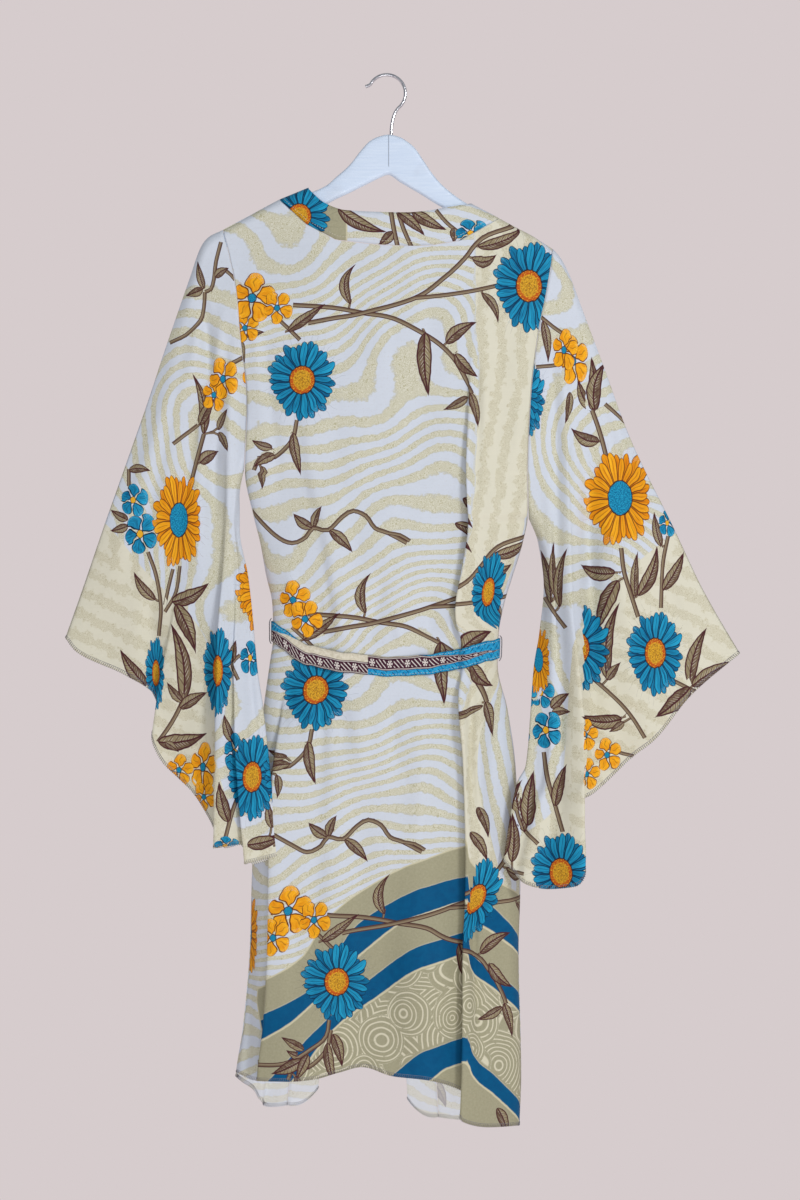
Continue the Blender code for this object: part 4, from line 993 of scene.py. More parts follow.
class Cloth:
    """A grid of cloth points with the flat cloth's own coordinates, in metres."""

    def __init__(self, points, way=1, closed=False, seen=None, projected=False):
        self.points = points * MM
        self.seen = seen or points.shape[1]
        self.tube = closed and projected
        self.behind = False
        rows, columns = points.shape[:2]
        steps = np.diff(self.points, axis=1)
        run = way * np.hypot(steps[..., 0], steps[..., 1])
        across = np.concatenate([np.zeros((rows, 1)), np.cumsum(run, axis=1)], axis=1)
        across += self.points[:, :1, 0]
        if projected:
            across = self.points[..., 0].copy()
            across[:, self.seen :] = 2 * across[:, self.seen - 1 : self.seen] - across[:, self.seen :]
        self.flat = np.stack([across, -self.points[..., 2]], axis=-1)
        self.across = columns if closed else columns - 1
        r, c = np.meshgrid(np.arange(rows - 1), np.arange(self.across), indexing="ij")
        self.faces = quads(r, c, columns, (c + 1) % columns)
        flat = self.flat
        if closed:
            closing = flat[:, -1:] + way * np.linalg.norm(
                self.points[:, :1, :2] - self.points[:, -1:, :2], axis=2, keepdims=True
            ) * [1, 0]
            flat = np.concatenate([flat, closing], axis=1)
        corners = quads(r, c, flat.shape[1], c + 1)
        if way < 0:
            self.faces, corners = self.faces[:, ::-1], corners[:, ::-1]
        self.corners = flat.reshape(-1, 2)[corners]
        self.middles = self.corners.mean(axis=1)
        # a tube's hidden side carries motifs below the armhole only, where it lies flat
        hidden = self.tube & (np.arange(len(self.faces)) % self.across >= self.seen)
        self.printable = ~hidden | (self.middles[:, 1] > HIDDEN_PRINT_FROM)
        self.tree = None

    def sides(self, marks):
        """The motifs for the side that shows, then again for a tube's hidden side."""
        for self.behind in (False, True) if self.tube else (False,):
            yield from marks
        self.behind = False

    def place(self, x, y):
        """The flat cloth's coordinates that show at a point of the picture, or that lie behind it."""
        if self.behind:
            return self.nearest(x, y, slice(self.seen, None))
        if self.tree is None:
            self.tree = BVHTree.FromPolygons(
                self.points.reshape(-1, 3).tolist(), self.faces.tolist(), all_triangles=False
            )
        eye = Vector((VIEW_X, -VIEW_DISTANCE, VIEW_HEIGHT)) * MM
        aim = Vector((
            VIEW_X + (x - PICTURE_MIDDLE[0]) * PICTURE_POINT,
            0.0,
            VIEW_HEIGHT - (y - PICTURE_MIDDLE[1]) * PICTURE_POINT,
        )) * MM
        hit, _, face, _ = self.tree.ray_cast(eye, aim - eye)
        if hit is None or face % self.across >= self.seen:
            return self.nearest(x, y, slice(0, self.seen))
        ends = [Vector(p) for p in self.points.reshape(-1, 3)[self.faces[face]]]
        weights = np.array(poly_3d_calc(ends, hit))
        return weights @ self.corners[face]

    def nearest(self, x, y, columns):
        """The flat coordinates of some columns' point nearest to a point of the picture."""
        off = np.array([x, y]) - picture_places(self.points[:, columns] / MM)
        best = np.unravel_index(np.argmin((off**2).sum(axis=-1)), off.shape[:2])
        way = [-1, 1] if self.behind else [1, 1]
        return self.flat[:, columns][best] + off[best] * way * PICTURE_POINT * MM


def clear_layers(cloth):
    """Two layers for one kind of motif: corner coordinates in the motif's own frame."""
    far = np.zeros((len(cloth.faces), 4, 3), np.float32)
    far[..., :2] = 9
    return [far, far.copy()]


def lay_on(layers, chosen, local):
    """Puts a motif on top of what these faces already carry."""
    taken = chosen & (layers[0][:, 0, 2] > 0)
    layers[1][taken] = layers[0][taken]
    layers[0][chosen] = local[chosen]


def bloom_layers(cloth, blooms):
    """Blooms in their own frames: across, up and kind."""
    layers = clear_layers(cloth)
    for bloom in cloth.sides(blooms):
        middle = cloth.place(bloom.x, bloom.y) + np.array([bloom.beside * MM, 0])
        off = cloth.corners - middle
        turn = math.radians(bloom.turn)
        grown = SMALL_BLOOM_GROWN if bloom.kind in (YELLOW, BLUE) else 1.0
        across = off[..., 0] / (bloom.wide * grown * MM)
        up = -off[..., 1] / (bloom.tall * grown * MM)
        local = np.stack(
            [
                across * math.cos(turn) + up * math.sin(turn),
                up * math.cos(turn) - across * math.sin(turn),
                np.full(across.shape, float(bloom.kind)),
            ],
            axis=-1,
        )
        near = np.hypot(local[..., 0], local[..., 1]).min(axis=1) < 1.05
        if bloom.edge and not cloth.behind:
            near &= cloth.middles[:, 0] > cloth.place(bloom.edge, bloom.y)[0]
        lay_on(layers, near & cloth.printable, local)
    return layers


def leaf_layers(cloth, leaves):
    """Leaves in their own frames: along from base to tip, across in half widths, and a mark."""
    layers = clear_layers(cloth)
    for number, leaf in enumerate(cloth.sides(leaves)):
        base = cloth.place(leaf.x, leaf.y)
        way = cloth.place(leaf.tip_x, leaf.tip_y) - base
        length = np.hypot(*way)
        off = cloth.corners - base
        along = off @ way / length**2
        half = leaf.half * LEAF_WIDE * MM
        across = off @ np.array([way[1], -way[0]]) / length / half
        across = across - leaf.bend * 4 * along * (1 - along) * length / half * LEAF_BEND
        local = np.stack([along, across, np.full(along.shape, 1 + (number * 0.37) % 1)], axis=-1)
        near = (along.min(axis=1) < 1.02) & (along.max(axis=1) > -0.02)
        near &= np.abs(across).min(axis=1) < 1.15
        lay_on(layers, near & cloth.printable, local)
    return layers


def smooth_line(places, step):
    """A smooth line through places, in even steps."""
    places = np.array(places)
    ends = np.concatenate([2 * places[:1] - places[1:2], places, 2 * places[-1:] - places[-2:-1]])
    line = []
    for i in range(1, len(ends) - 2):
        a, b, c, d = ends[i - 1 : i + 3]
        count = max(2, int(np.hypot(*(c - b)) / step))
        for t in np.arange(count) / count:
            line.append(
                0.5 * (2 * b + (c - a) * t + (2 * a - 5 * b + 4 * c - d) * t**2
                       + (3 * b - a - 3 * c + d) * t**3)
            )
    return np.array(line + [places[-1]])


def stem_layers(cloth, stems):
    """Stems in their own frames: across in half widths, room to the ends, and a mark."""
    layers = clear_layers(cloth)
    for stem in cloth.sides(stems):
        pairs = np.array(stem.places).reshape(-1, 2)
        line = smooth_line([cloth.place(x, y) for x, y in pairs], 0.005)
        half = stem.half * MM
        low, high = line.min(axis=0) - 4 * half, line.max(axis=0) + 4 * half
        inside = ((cloth.middles > low) & (cloth.middles < high)).all(axis=1)
        nearest = np.full(len(cloth.faces), 9.0)
        local = np.zeros_like(layers[0])
        for k in range(len(line) - 1):
            a, way = line[k], line[k + 1] - line[k]
            length = np.hypot(*way)
            if length < 1e-6:
                continue
            part = np.clip((cloth.middles[inside] - a) @ way / length**2, 0, 1)
            gap = np.linalg.norm(cloth.middles[inside] - a - part[:, None] * way, axis=1)
            closer = gap < nearest[inside]
            index = np.flatnonzero(inside)[closer]
            nearest[index] = gap[closer]
            off = cloth.corners[index] - a
            along = off @ way / length
            local[index, :, 0] = off @ np.array([way[1], -way[0]]) / length / half
            room = np.full(along.shape, 3.0)
            if k == 0:
                room = np.minimum(room, along / half)
            if k == len(line) - 2:
                room = np.minimum(room, (length - along) / half)
            local[index, :, 1] = room
            local[index, :, 2] = 1
        reach = 1.3 * half + 0.004
        lay_on(layers, (nearest < reach) & cloth.printable, local)
    return layers


def quads(r, c, wide, after):
    """The four corners of a grid's faces, from rows r and columns c, as numbers of its points."""
    corners = [r * wide + c, (r + 1) * wide + c, (r + 1) * wide + after, r * wide + after]
    return np.stack(corners, axis=-1).reshape(-1, 4)


def line_over(cloth, places):
    """How far each corner lies below a line drawn across the cloth, in metres."""
    ends = np.array([cloth.place(x, y) for x, y in np.array(places).reshape(-1, 2)])
    ends = ends[np.argsort(ends[:, 0])]
    before = ends[:1] + (ends[:1] - ends[1:2]) * 8
    after = ends[-1:] + (ends[-1:] - ends[-2:-1]) * 8
    across, down = np.concatenate([before, ends, after]).T
    heights = smoothly(across, down, cloth.corners[..., 0])
    slope = (smoothly(across, down, cloth.corners[..., 0] + 0.004) - heights) / 0.004
    return (cloth.corners[..., 1] - heights) / np.hypot(1, slope)


def marbling(cloth, shift, turn, wide):
    """The smooth field whose whole numbers are the middles of the marbled stripes."""
    u, v = cloth.corners[..., 0], cloth.corners[..., 1]
    across = u * math.cos(turn) - v * math.sin(turn)
    down = v * math.cos(turn) + u * math.sin(turn)
    field = down / WAVE_PITCH / wide + np.maximum(down - WAVE_FINER[0], 0) * WAVE_FINER[1]
    for wave in GROUND_WAVES:
        round_ = wave.across * across / WAVE_ROOM[0] + wave.down * down / WAVE_ROOM[1]
        field = field + wave.lift * np.cos(2 * math.pi * round_ + wave.start + shift)
    return field


def moved_stem(stem, right, down):
    """A stem at another place of the picture."""
    return Stem(stem.half, [p + (down if i % 2 else right) for i, p in enumerate(stem.places)])


def moved_leaf(leaf, right, down):
    """A leaf at another place of the picture."""
    return Leaf(leaf.x + right, leaf.y + down, leaf.tip_x + right, leaf.tip_y + down, leaf.half, leaf.bend)


def repeated(stems, leaves):
    """The back's stems and leaves, once for each repeat of the print."""
    return (
        [moved_stem(stem, *repeat) for repeat in REPEATS for stem in stems],
        [moved_leaf(leaf, *repeat) for repeat in REPEATS for leaf in leaves],
    )


def stalks(leaves, stems):
    """Short stalks in the picture that join leaves to the nearest stem."""
    spots = [np.array(stem.places, float).reshape(-1, 2) for stem in stems]
    filled = [smooth_line(spot, 3.0) for spot in spots]
    made = []
    for leaf in leaves:
        base = np.array([leaf.x, leaf.y], float)
        near = min((line[np.argmin(np.hypot(*(line - base).T))] for line in filled),
                   key=lambda spot: np.hypot(*(spot - base)))
        gap = np.hypot(*(near - base))
        if 1.5 < gap < 26:
            way = np.array([leaf.tip_x, leaf.tip_y]) - base
            inner = base + way / np.hypot(*way) * 5
            made.append(Stem(1.3, [*near, *(near * 0.35 + base * 0.65), *inner]))
    return made


def printed(cloth, blooms, stems, leaves, ecru, edges=None, shift=0.0, turn=0.0, wide=1.0, left_end=None):
    """All that the print needs on a piece, as corner attributes by name."""
    marks = {}
    stems = [*stalks(leaves, stems), *stems]
    for name, layers in (
        ("bloom", bloom_layers(cloth, blooms)),
        ("leaf", leaf_layers(cloth, leaves)),
        ("stem", stem_layers(cloth, stems)),
    ):
        marks[f"{name}_top"], marks[f"{name}_under"] = layers
    far = np.full(cloth.corners.shape[:2], -1.0)
    lines = [line_over(cloth, edge) for edge in edges or ()] or [far] * (1 + len(STRIPE_EDGES))
    if left_end:
        spots = np.array([cloth.place(x, y) for x, y in left_end])
        edge = np.interp(cloth.corners[..., 1], spots[:, 1], spots[:, 0])
        lines[0] = np.minimum(lines[0], cloth.corners[..., 0] - edge)
    marks["border_a"] = np.stack(lines[:3], axis=-1)
    marks["border_b"] = np.stack(lines[3:6], axis=-1)
    field = marbling(cloth, shift, turn, wide)
    if left_end:
        beyond = beside_crest(cloth)
        down = cloth.corners[..., 1]
        upright = beyond / STRIP_PITCH + 0.45 + 0.5 * np.sin(down * 13) + 0.25 * np.sin(down * 29 + 1)
        field = np.where(beyond > 0, upright, field)
    marks["ground"] = np.stack([np.broadcast_to(ecru, far.shape), field, lines[6]], axis=-1)
    return marks


def cloth_object(name, cloth, marks, materials, thickness, flip=False):
    """A piece of cloth as a thin closed shell that carries its flat coordinates and its marks."""
    mesh = bpy.data.meshes.new(name)
    faces = cloth.faces[:, ::-1] if flip else cloth.faces
    corners = cloth.corners[:, ::-1] if flip else cloth.corners
    mesh.from_pydata(cloth.points.reshape(-1, 3).tolist(), [], faces.tolist())
    layer = mesh.uv_layers.new(name="cloth")
    layer.data.foreach_set("uv", corners.astype(np.float32).ravel())
    for mark, values in marks.items():
        values = values[:, ::-1] if flip else values
        attribute = mesh.attributes.new(mark, "FLOAT_VECTOR", "CORNER")
        attribute.data.foreach_set("vector", values.astype(np.float32).ravel())
    mesh.shade_smooth()
    for material in materials:
        mesh.materials.append(material)
    made = placed(name, mesh)
    wall = made.modifiers.new("thickness", "SOLIDIFY")
    wall.thickness = thickness * MM
    wall.offset = 0
    wall.use_even_offset = False
    wall.material_offset = len(materials) - 1
    return plain(made)


def placed(name, data):
    """A new object in the scene, at the origin."""
    made = bpy.data.objects.new(name, data)
    bpy.context.scene.collection.objects.link(made)
    return made


def plain(made):
    """The object with its modifiers worked into its mesh."""
    bpy.context.view_layer.update()
    graph = bpy.context.evaluated_depsgraph_get()
    mesh = bpy.data.meshes.new_from_object(
        made.evaluated_get(graph), preserve_all_data_layers=True, depsgraph=graph
    )
    name = made.name
    old = made.data
    made.modifiers.clear()
    if made.type == "MESH":
        made.data = mesh
        bpy.data.meshes.remove(old)
        return made
    bpy.data.objects.remove(made)
    return placed(name, mesh)


def keep(made, slot, *nodes):
    """Rides a finished piece on the robe's body, in place of these solids."""
    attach(made, "root")
    if nodes:
        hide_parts(*nodes)
    return made


def linear(red, green, blue):
    """A colour given from 0 to 255, as the light values that a shader takes."""
    values = [c / 255 for c in (red, green, blue)]
    return [c / 12.92 if c <= 0.04045 else ((c + 0.055) / 1.055) ** 2.4 for c in values] + [1.0]


class Term:
    """A value in a node tree that can be added, multiplied and compared like a number."""

    def __init__(self, tree, socket):
        self.tree = tree
        self.socket = socket

    def math(self, operation, *others, clamp=False):
        given = dict(enumerate((self, *others)))
        return term(self.tree, "ShaderNodeMath", given, operation=operation, use_clamp=clamp)

    def __add__(self, other):
        return self.math("ADD", other)

    def __sub__(self, other):
        return self.math("SUBTRACT", other)

    def __mul__(self, other):
        return self.math("MULTIPLY", other)

    def __truediv__(self, other):
        return self.math("DIVIDE", other)

    def __abs__(self):
        return self.math("ABSOLUTE")

    def flip(self):
        """One less this value."""
        return (self * -1 + 1).clamp()

    def clamp(self):
        return self.math("ADD", 0.0, clamp=True)

    def step_place(self):
        """The place between this value's whole numbers, from -0.5 to 0.5."""
        return self.math("FRACT") - 0.5

    def over(self, edge, soft):
        """From 0 below an edge to 1 above it."""
        return ((self - edge) / soft + 0.5).clamp()

    def under(self, edge, soft):
        return self.over(edge, soft).flip()


def join(tree, value, socket):
    """Links a term into a socket, or sets a plain value on it."""
    if isinstance(value, Term):
        tree.links.new(value.socket, socket)
    else:
        socket.default_value = value


def use_group(tree, group, **values):
    """A node that runs a group, given values for its inputs."""
    node = tree.nodes.new("ShaderNodeGroup")
    node.node_tree = group
    for label, value in values.items():
        join(tree, value, node.inputs[label])
    return {socket.name: Term(tree, socket) for socket in node.outputs}


def term(tree, kind, given, output=0, **settings):
    """One output of a new node, with its settings and with its inputs given by name or number."""
    node = tree.nodes.new(kind)
    for name, value in settings.items():
        setattr(node, name, value)
    for label, value in given.items():
        join(tree, value, node.inputs[label])
    return Term(tree, node.outputs[output])


def tree_of(*values):
    """The tree that the first term among some values stands in."""
    return next(value.tree for value in values if isinstance(value, Term))


def split(vector):
    """The three values of a vector."""
    node = vector.tree.nodes.new("ShaderNodeSeparateXYZ")
    join(vector.tree, vector, node.inputs[0])
    return [Term(vector.tree, socket) for socket in node.outputs]


def vector_of(x, y, z=0.0):
    return term(tree_of(x, y, z), "ShaderNodeCombineXYZ", {0: x, 1: y, 2: z})


def mixed(share, first, second):
    """A colour between two others."""
    given = {0: share, 6: first, 7: second}
    return term(tree_of(share, first, second), "ShaderNodeMix", given, 2, data_type="RGBA")


def noise(place, scale, detail=2.0, rough=0.5):
    given = {"Vector": place, "Scale": scale, "Detail": detail, "Roughness": rough}
    return term(place.tree, "ShaderNodeTexNoise", given)


def cells(place, scale):
    """How far a place is from the nearest of many scattered points."""
    return term(place.tree, "ShaderNodeTexVoronoi", {"Vector": place, "Scale": scale}, "Distance")


def by_chance(value):
    """A value from 0 to 1 that looks random but is always the same for the same number."""
    return term(value.tree, "ShaderNodeTexWhiteNoise", {"W": value}, noise_dimensions="1D")


def attribute(tree, name):
    return term(tree, "ShaderNodeAttribute", {}, "Vector", attribute_type="GEOMETRY", attribute_name=name)


def flat_place(tree):
    """The place on the flat cloth, in metres."""
    return term(tree, "ShaderNodeUVMap", {}, uv_map="cloth")


def petal_ring(radius, turn, kind, tip, shift):
    """One ring of petals: how far inside a petal a point is, and how far along and across it."""
    count = kind.over(2.5, 0.01) * -12 + 17
    bent = noise(vector_of(turn.math("SINE") * 3, radius * 2.2, kind * 5 + shift * 7), 1.0, 1.0)
    place = turn * count + shift + bent * 0.7
    number = place.math("FLOOR")
    across = place.step_place()
    chance = by_chance(number + kind * 37 + shift * 5)
    along = radius / (chance * -0.22 + tip)
    small = kind.over(2.5, 0.01)
    turning = small * 0.06 + 0.36
    round_end = ((along - turning) / (turning * -1 + 1)).math("MAXIMUM", 0.0)
    round_end = round_end.math("POWER", small * -0.1 + 1.45)
    half = (round_end * round_end * -1 + 1).math("MAXIMUM", 0.0).math("SQRT") * 0.47
    oval = (along - 0.6) / 0.42
    rounded = (oval * oval * -1 + 1).math("MAXIMUM", 0.0).math("SQRT") * 0.48
    half = half + (rounded - half) * small
    room = (half - abs(across)) * radius * (2 * math.pi) / count
    return room, along, across, chance


def draw_bloom(place):
    """Printed blooms: two rings of petals round a speckled middle, in four colourings."""
    x, y, kind = split(place)
    radius = (x * x + y * y).math("SQRT")
    turn = y.math("ARCTAN2", x) / (2 * math.pi)
    small = kind.over(2.5, 0.01)
    line = small * 0.035 + 0.020
    front = petal_ring(radius, turn, kind, 0.94, 0.0)
    back = petal_ring(radius, turn, kind, 1.0, 0.5)

    def petals(ring, darker):
        room, along, across, chance = ring
        golden = kind.over(1.5, 0.01) * kind.under(3.5, 0.01)
        deep = mixed(golden, linear(0, 88, 134), linear(222, 128, 6))
        light = mixed(golden, linear(38, 170, 214), linear(255, 188, 38))
        streak = noise(vector_of(across * 9, along * 2.2, chance * 40), 1.0, 2.0)
        share = (streak * 1.7 - 0.4 + along * 0.3 - chance * 0.3 - darker).clamp()
        colour = mixed(share, deep, light)
        ink = mixed(golden, linear(8, 36, 62), linear(108, 56, 22))
        vein = abs(across).under(0.035, 0.03) * along.over(0.45, 0.1) * along.under(0.86, 0.1)
        colour = mixed(vein * 0.5, colour, ink)
        return mixed(room.under(line, 0.012), colour, ink), room.over(0.0, 0.008)

    back_colour, back_mask = petals(back, 0.35)
    back_mask = back_mask * (small * -1 + 1)
    front_colour, front_mask = petals(front, 0.0)
    colour = mixed(front_mask, back_colour, front_colour)
    mask = front_mask.math("MAXIMUM", back_mask)
    wobble = noise(vector_of(x * 9, y * 9, kind), 1.0, 2.0) * 0.06
    core = radius + wobble
    speckle = noise(vector_of(x * 34, y * 34, kind), 1.0, 1.0)
    curl = noise(vector_of(x * 13, y * 13, kind), 1.0, 3.0, 0.7)
    drawn = abs(curl - 0.5).under(0.02, 0.02) * core.under(0.24, 0.02)
    yellow = mixed(speckle.over(0.5, 0.3), linear(232, 182, 52), linear(206, 146, 36))
    yellow = mixed(drawn, yellow, linear(120, 70, 30))
    middle = mixed((core - 0.26).over(0.0, 0.04) * speckle.over(0.4, 0.1), yellow, linear(190, 84, 26))
    dark_core = kind.over(1.5, 0.01)
    other = mixed(speckle.over(0.5, 0.1), linear(34, 156, 196), linear(12, 108, 150))
    other = mixed(kind.over(3.5, 0.01), other, linear(236, 176, 44))
    middle = mixed(dark_core, middle, other)
    rim = small * -0.165 + 0.345
    middle = mixed((core - rim).over(0.0, 0.012), middle, linear(48, 34, 36))
    edge = small * -0.16 + 0.37
    colour = mixed((core - edge).under(0.0, 0.012), colour, middle)
    mask = mask.math("MAXIMUM", (core - edge).under(0.0, 0.012))
    return colour, mask * kind.over(0.5, 0.01)


def draw_leaf(place):
    """Printed leaves: pointed, outlined in maroon, veined, one half lighter."""
    along, across, mark = split(place)
    inside = along.clamp()
    wobble = noise(vector_of(along * 7, mark * 9, 0.0), 1.0, 1.0) * 0.24 - 0.12
    half = inside.math("POWER", 0.6) * (inside * -1 + 1).math("POWER", 1.15) * 3.1
    room = half - abs(across) + wobble
    side = across.over(0.0, 0.05)
    tone = noise(vector_of(along * 5, across * 1.6, mark * 20), 1.0, 2.0)
    colour = mixed(tone.over(0.5, 0.4), linear(98, 76, 62), linear(128, 110, 86))
    colour = mixed(side * 0.7, colour, linear(158, 146, 112))
    ink = linear(78, 40, 44)
    slant = ((along - abs(across) * 0.16) * 8).step_place()
    veins = abs(slant).under(0.10, 0.08) * along.over(0.1, 0.05) * along.under(0.85, 0.1)
    colour = mixed(veins * 0.6, colour, ink)
    rib = abs(across + wobble * 0.6).under(0.11, 0.05)
    pale = abs(abs(slant) - 0.22).under(0.05, 0.05) * room.over(0.45, 0.1)
    colour = mixed(pale * tone.over(0.45, 0.1) * 0.7, colour, linear(214, 204, 190))
    colour = mixed(rib, colour, ink)
    colour = mixed(room.under(0.2, 0.06), colour, ink)
    mask = room.over(0.0, 0.05) * along.over(0.0, 0.01) * along.under(1.0, 0.01)
    return colour, mask * mark.over(0.5, 0.01)


def draw_stem(place):
    """Printed stems: taupe with dark edges."""
    across, room, mark = split(place)
    wide = abs(across)
    colour = mixed(across.over(0.1, 0.6), linear(146, 130, 106), linear(112, 92, 74))
    colour = mixed(wide.over(0.6, 0.1), colour, linear(80, 50, 48))
    return colour, wide.under(1.0, 0.1) * room.over(0.0, 0.1) * mark.over(0.5, 0.01)


def draw_ground(flat, border_a, border_b, ground):
    """The ground under the blooms: marbled white and cream, an ecru part, and the striped border."""
    ecru_share, phase, teal_c_end = split(ground)
    scribble = noise(flat, 120.0, 3.0, 0.6)
    fine = noise(flat, 420.0, 2.0, 0.6)
    field = phase + (scribble - 0.5) * 0.34
    wave = abs(field.step_place())
    band = wave.under(0.225, 0.08)
    rim = abs(wave - 0.225).under(0.03, 0.03) * fine.over(0.42, 0.1)
    line = abs((cells(flat, 300.0) * 3.0 + scribble * 2).step_place()).under(0.16, 0.08)
    cream = mixed(line, linear(216, 214, 196), linear(188, 184, 152))
    white = mixed(fine.over(0.62, 0.12) * 0.4, linear(211, 218, 229), linear(203, 206, 213))
    colour = mixed(band, white, cream)
    colour = mixed(rim * 0.4, colour, linear(186, 180, 148))
    run, rise, _ = split(flat)
    meander = scribble * 1.1 + noise(flat, 8.0, 1.0) * 1.2

    def soft_rows(steps):
        return abs((steps + meander).step_place()).under(0.24, 0.10)

    upright = soft_rows(run * 42.0)
    slanted = soft_rows((rise - run * 0.5) * 40.0)
    rows = upright + (slanted - upright) * ecru_share.over(1.5, 0.3)
    ecru = mixed(rows * 0.5, linear(222, 219, 200), linear(210, 205, 180))
    ecru = mixed(line * rows * 0.6, ecru, linear(184, 176, 144))
    colour = mixed(ecru_share.over(0.5, 0.06), colour, ecru)

    khaki_in, teal_a, teal_a_end = split(border_a)
    teal_b, teal_b_end, teal_c = split(border_b)
    ragged = (scribble - 0.5) * 0.0012
    khaki = mixed(fine.over(0.5, 0.4), linear(172, 168, 141), linear(162, 158, 131))
    drift = noise(flat, 30.0, 1.0)
    ring = cells(flat, 12.0) * 19.0
    for scale, reach, rings in ((13.0, 0.52, 17.0), (16.0, 0.45, 14.0), (19.0, 0.36, 12.0)):
        disc = cells(flat, scale)
        ring = ring + (disc * rings - ring) * disc.under(reach, 0.01)
    ring = ring + drift * 1.4
    swirl = abs(ring.step_place()).under(0.14, 0.10) * scribble.over(0.36, 0.08)
    swirl = swirl * (teal_b_end + ragged).over(0.003, 0.002) * (teal_c + ragged).under(-0.003, 0.002)
    khaki = mixed(swirl, khaki, linear(218, 213, 188))
    teal = mixed(scribble.over(0.5, 0.5), linear(0, 80, 126), linear(0, 92, 138))
    edge = linear(208, 202, 172)
    border = khaki
    for start, stop in ((teal_a, teal_a_end), (teal_b, teal_b_end), (teal_c, teal_c_end)):
        upper, lower = start + ragged, stop + ragged
        rimmed = upper.over(-0.0006, 0.0008) * lower.under(0.0022, 0.0008)
        border = mixed(rimmed, border, edge)
        border = mixed(upper.over(0.0, 0.001) * lower.under(0.0, 0.001), border, teal)
    khaki_edge = khaki_in + ragged
    colour = mixed(khaki_edge.over(-0.0015, 0.001), colour, edge)
    return [mixed(khaki_edge.over(0.0, 0.001), colour, border)]


def empty_group(name, inputs, outputs, kind="ShaderNodeTree"):
    """A node group with these sockets and nothing in it: its tree, its inputs and its output node."""
    tree = bpy.data.node_groups.new(name, kind)
    for way, sockets in (("INPUT", inputs), ("OUTPUT", outputs)):
        for label, socket in sockets.items():
            tree.interface.new_socket(label, in_out=way, socket_type=socket)
    start = tree.nodes.new("NodeGroupInput")
    return tree, [Term(tree, start.outputs[label]) for label in inputs], tree.nodes.new("NodeGroupOutput")


def drawn_group(name, inputs, outputs, draw, kind="ShaderNodeTree"):
    """A node group with these sockets, whose outputs a function draws from its inputs."""
    tree, terms, end = empty_group(name, inputs, outputs, kind)
    for label, value in zip(outputs, draw(*terms)):
        join(tree, value, end.inputs[label])
    return tree


def print_group():
    """The whole print of a piece, from the marks that its cloth carries."""
    tree, _, end = empty_group("robe print", {}, {"Colour": COLOUR})
    ground = drawn_group(
        "printed ground", {"Flat": VECTOR, "Border A": VECTOR, "Border B": VECTOR, "Ground": VECTOR},
        {"Colour": COLOUR}, draw_ground,
    )
    marks = {"Border A": "border_a", "Border B": "border_b", "Ground": "ground"}
    marks = {label: attribute(tree, name) for label, name in marks.items()}
    colour = use_group(tree, ground, Flat=flat_place(tree), **marks)["Colour"]
    for kind, draw in (("stem", draw_stem), ("leaf", draw_leaf), ("bloom", draw_bloom)):
        motif = drawn_group(f"printed {kind}", {"Place": VECTOR}, {"Colour": COLOUR, "Mask": VALUE}, draw)
        for layer in ("under", "top"):
            part = use_group(tree, motif, Place=attribute(tree, f"{kind}_{layer}"))
            colour = mixed(part["Mask"], colour, part["Colour"])
    join(tree, colour, end.inputs["Colour"])
    return tree


def draw_surface(flat):
    """The cloth's own surface: weave, small crumples and uneven dye, for height, shade and roughness."""
    u, v, _ = split(flat)
    crumple = noise(flat, 42.0, 3.0, 0.55)
    small = noise(flat, 150.0, 2.0, 0.5)
    weave = (u * 5200).math("SINE") * (v * 5200).math("SINE")
    slub = noise(vector_of(u * 30, v * 900), 1.0, 2.0)
    return (
        crumple * 0.9 + small * 0.12 + weave * 0.015 + slub * 0.02,
        (slub - 0.5) * 0.06 + (small - 0.5) * 0.04 + 1.0,
        (crumple - 0.5) * 0.16 + (slub - 0.5) * 0.1 + 0.68,
    )


def shaded(colour, shade):
    """A colour made lighter or darker by a value round 1."""
    given = {0: 1.0, 6: colour, 7: vector_of(shade, shade, shade)}
    return term(colour.tree, "ShaderNodeMix", given, 2, data_type="RGBA", blend_type="MULTIPLY")


def flecked(scale, soft, first, second):
    """A colour of a thread, for a material: flecked between two others."""
    return lambda tree: mixed(
        noise(object_place(tree), scale).over(0.5, soft), linear(*first), linear(*second)
    )


def finish(name, colour_of, rough, bump=None, distance=0.001, **settings):
    """A material: its colour and surface built by the given functions on a Principled shader."""
    material = bpy.data.materials.new(name)
    material.use_nodes = True
    tree = material.node_tree
    shader = tree.nodes["Principled BSDF"]
    join(tree, colour_of(tree), shader.inputs["Base Color"])
    join(tree, rough(tree) if callable(rough) else rough, shader.inputs["Roughness"])
    if bump:
        given = {"Distance": distance, "Height": bump(tree)}
        join(tree, term(tree, "ShaderNodeBump", given), shader.inputs["Normal"])
    for label, value in settings.items():
        shader.inputs[label.replace("_", " ")].default_value = value
    return material


class RobeCloth(bpy.types.PropertyGroup):
    """How thick, how crumpled and how shiny the printed cloth is."""

    thickness: FloatProperty(
        name="Cloth thickness", description="Thickness of the cloth's shell", default=0.0008, unit="LENGTH"
    )
    swell: FloatProperty(
        name="Swell", description="Height of the faint uneven swell", default=0.0013, unit="LENGTH"
    )
    sheen: FloatProperty(name="Sheen", description="Soft shine across the fibres", default=0.02)
    # Painted light: an even glow on the wrong side that brightens it where it lies in shade
    painted_glow: FloatProperty(
        name="Shine through", description="Light that shines through to the cloth's wrong side", default=0.14
    )
    # Painted light in part: the print is paler on the wrong side, and the white it is mixed towards is
    # brighter than the cloth's own white, to lift the wrong side out of its shade
    wrong_side_brightening: FloatProperty(
        name="Wrong side", description="How pale the print is on the wrong side", default=0.35
    )


class RobeBelt(bpy.types.PropertyGroup):
    """The belt's dark colour and its thickness."""

    dark: FloatVectorProperty(
        name="Dark colour", description="Colour of the dark band", subtype="COLOR", size=3,
        default=(0.043, 0.011, 0.024),
    )
    thickness: FloatProperty(
        name="Belt thickness", description="Thickness of the folded belt", default=0.0015, unit="LENGTH"
    )


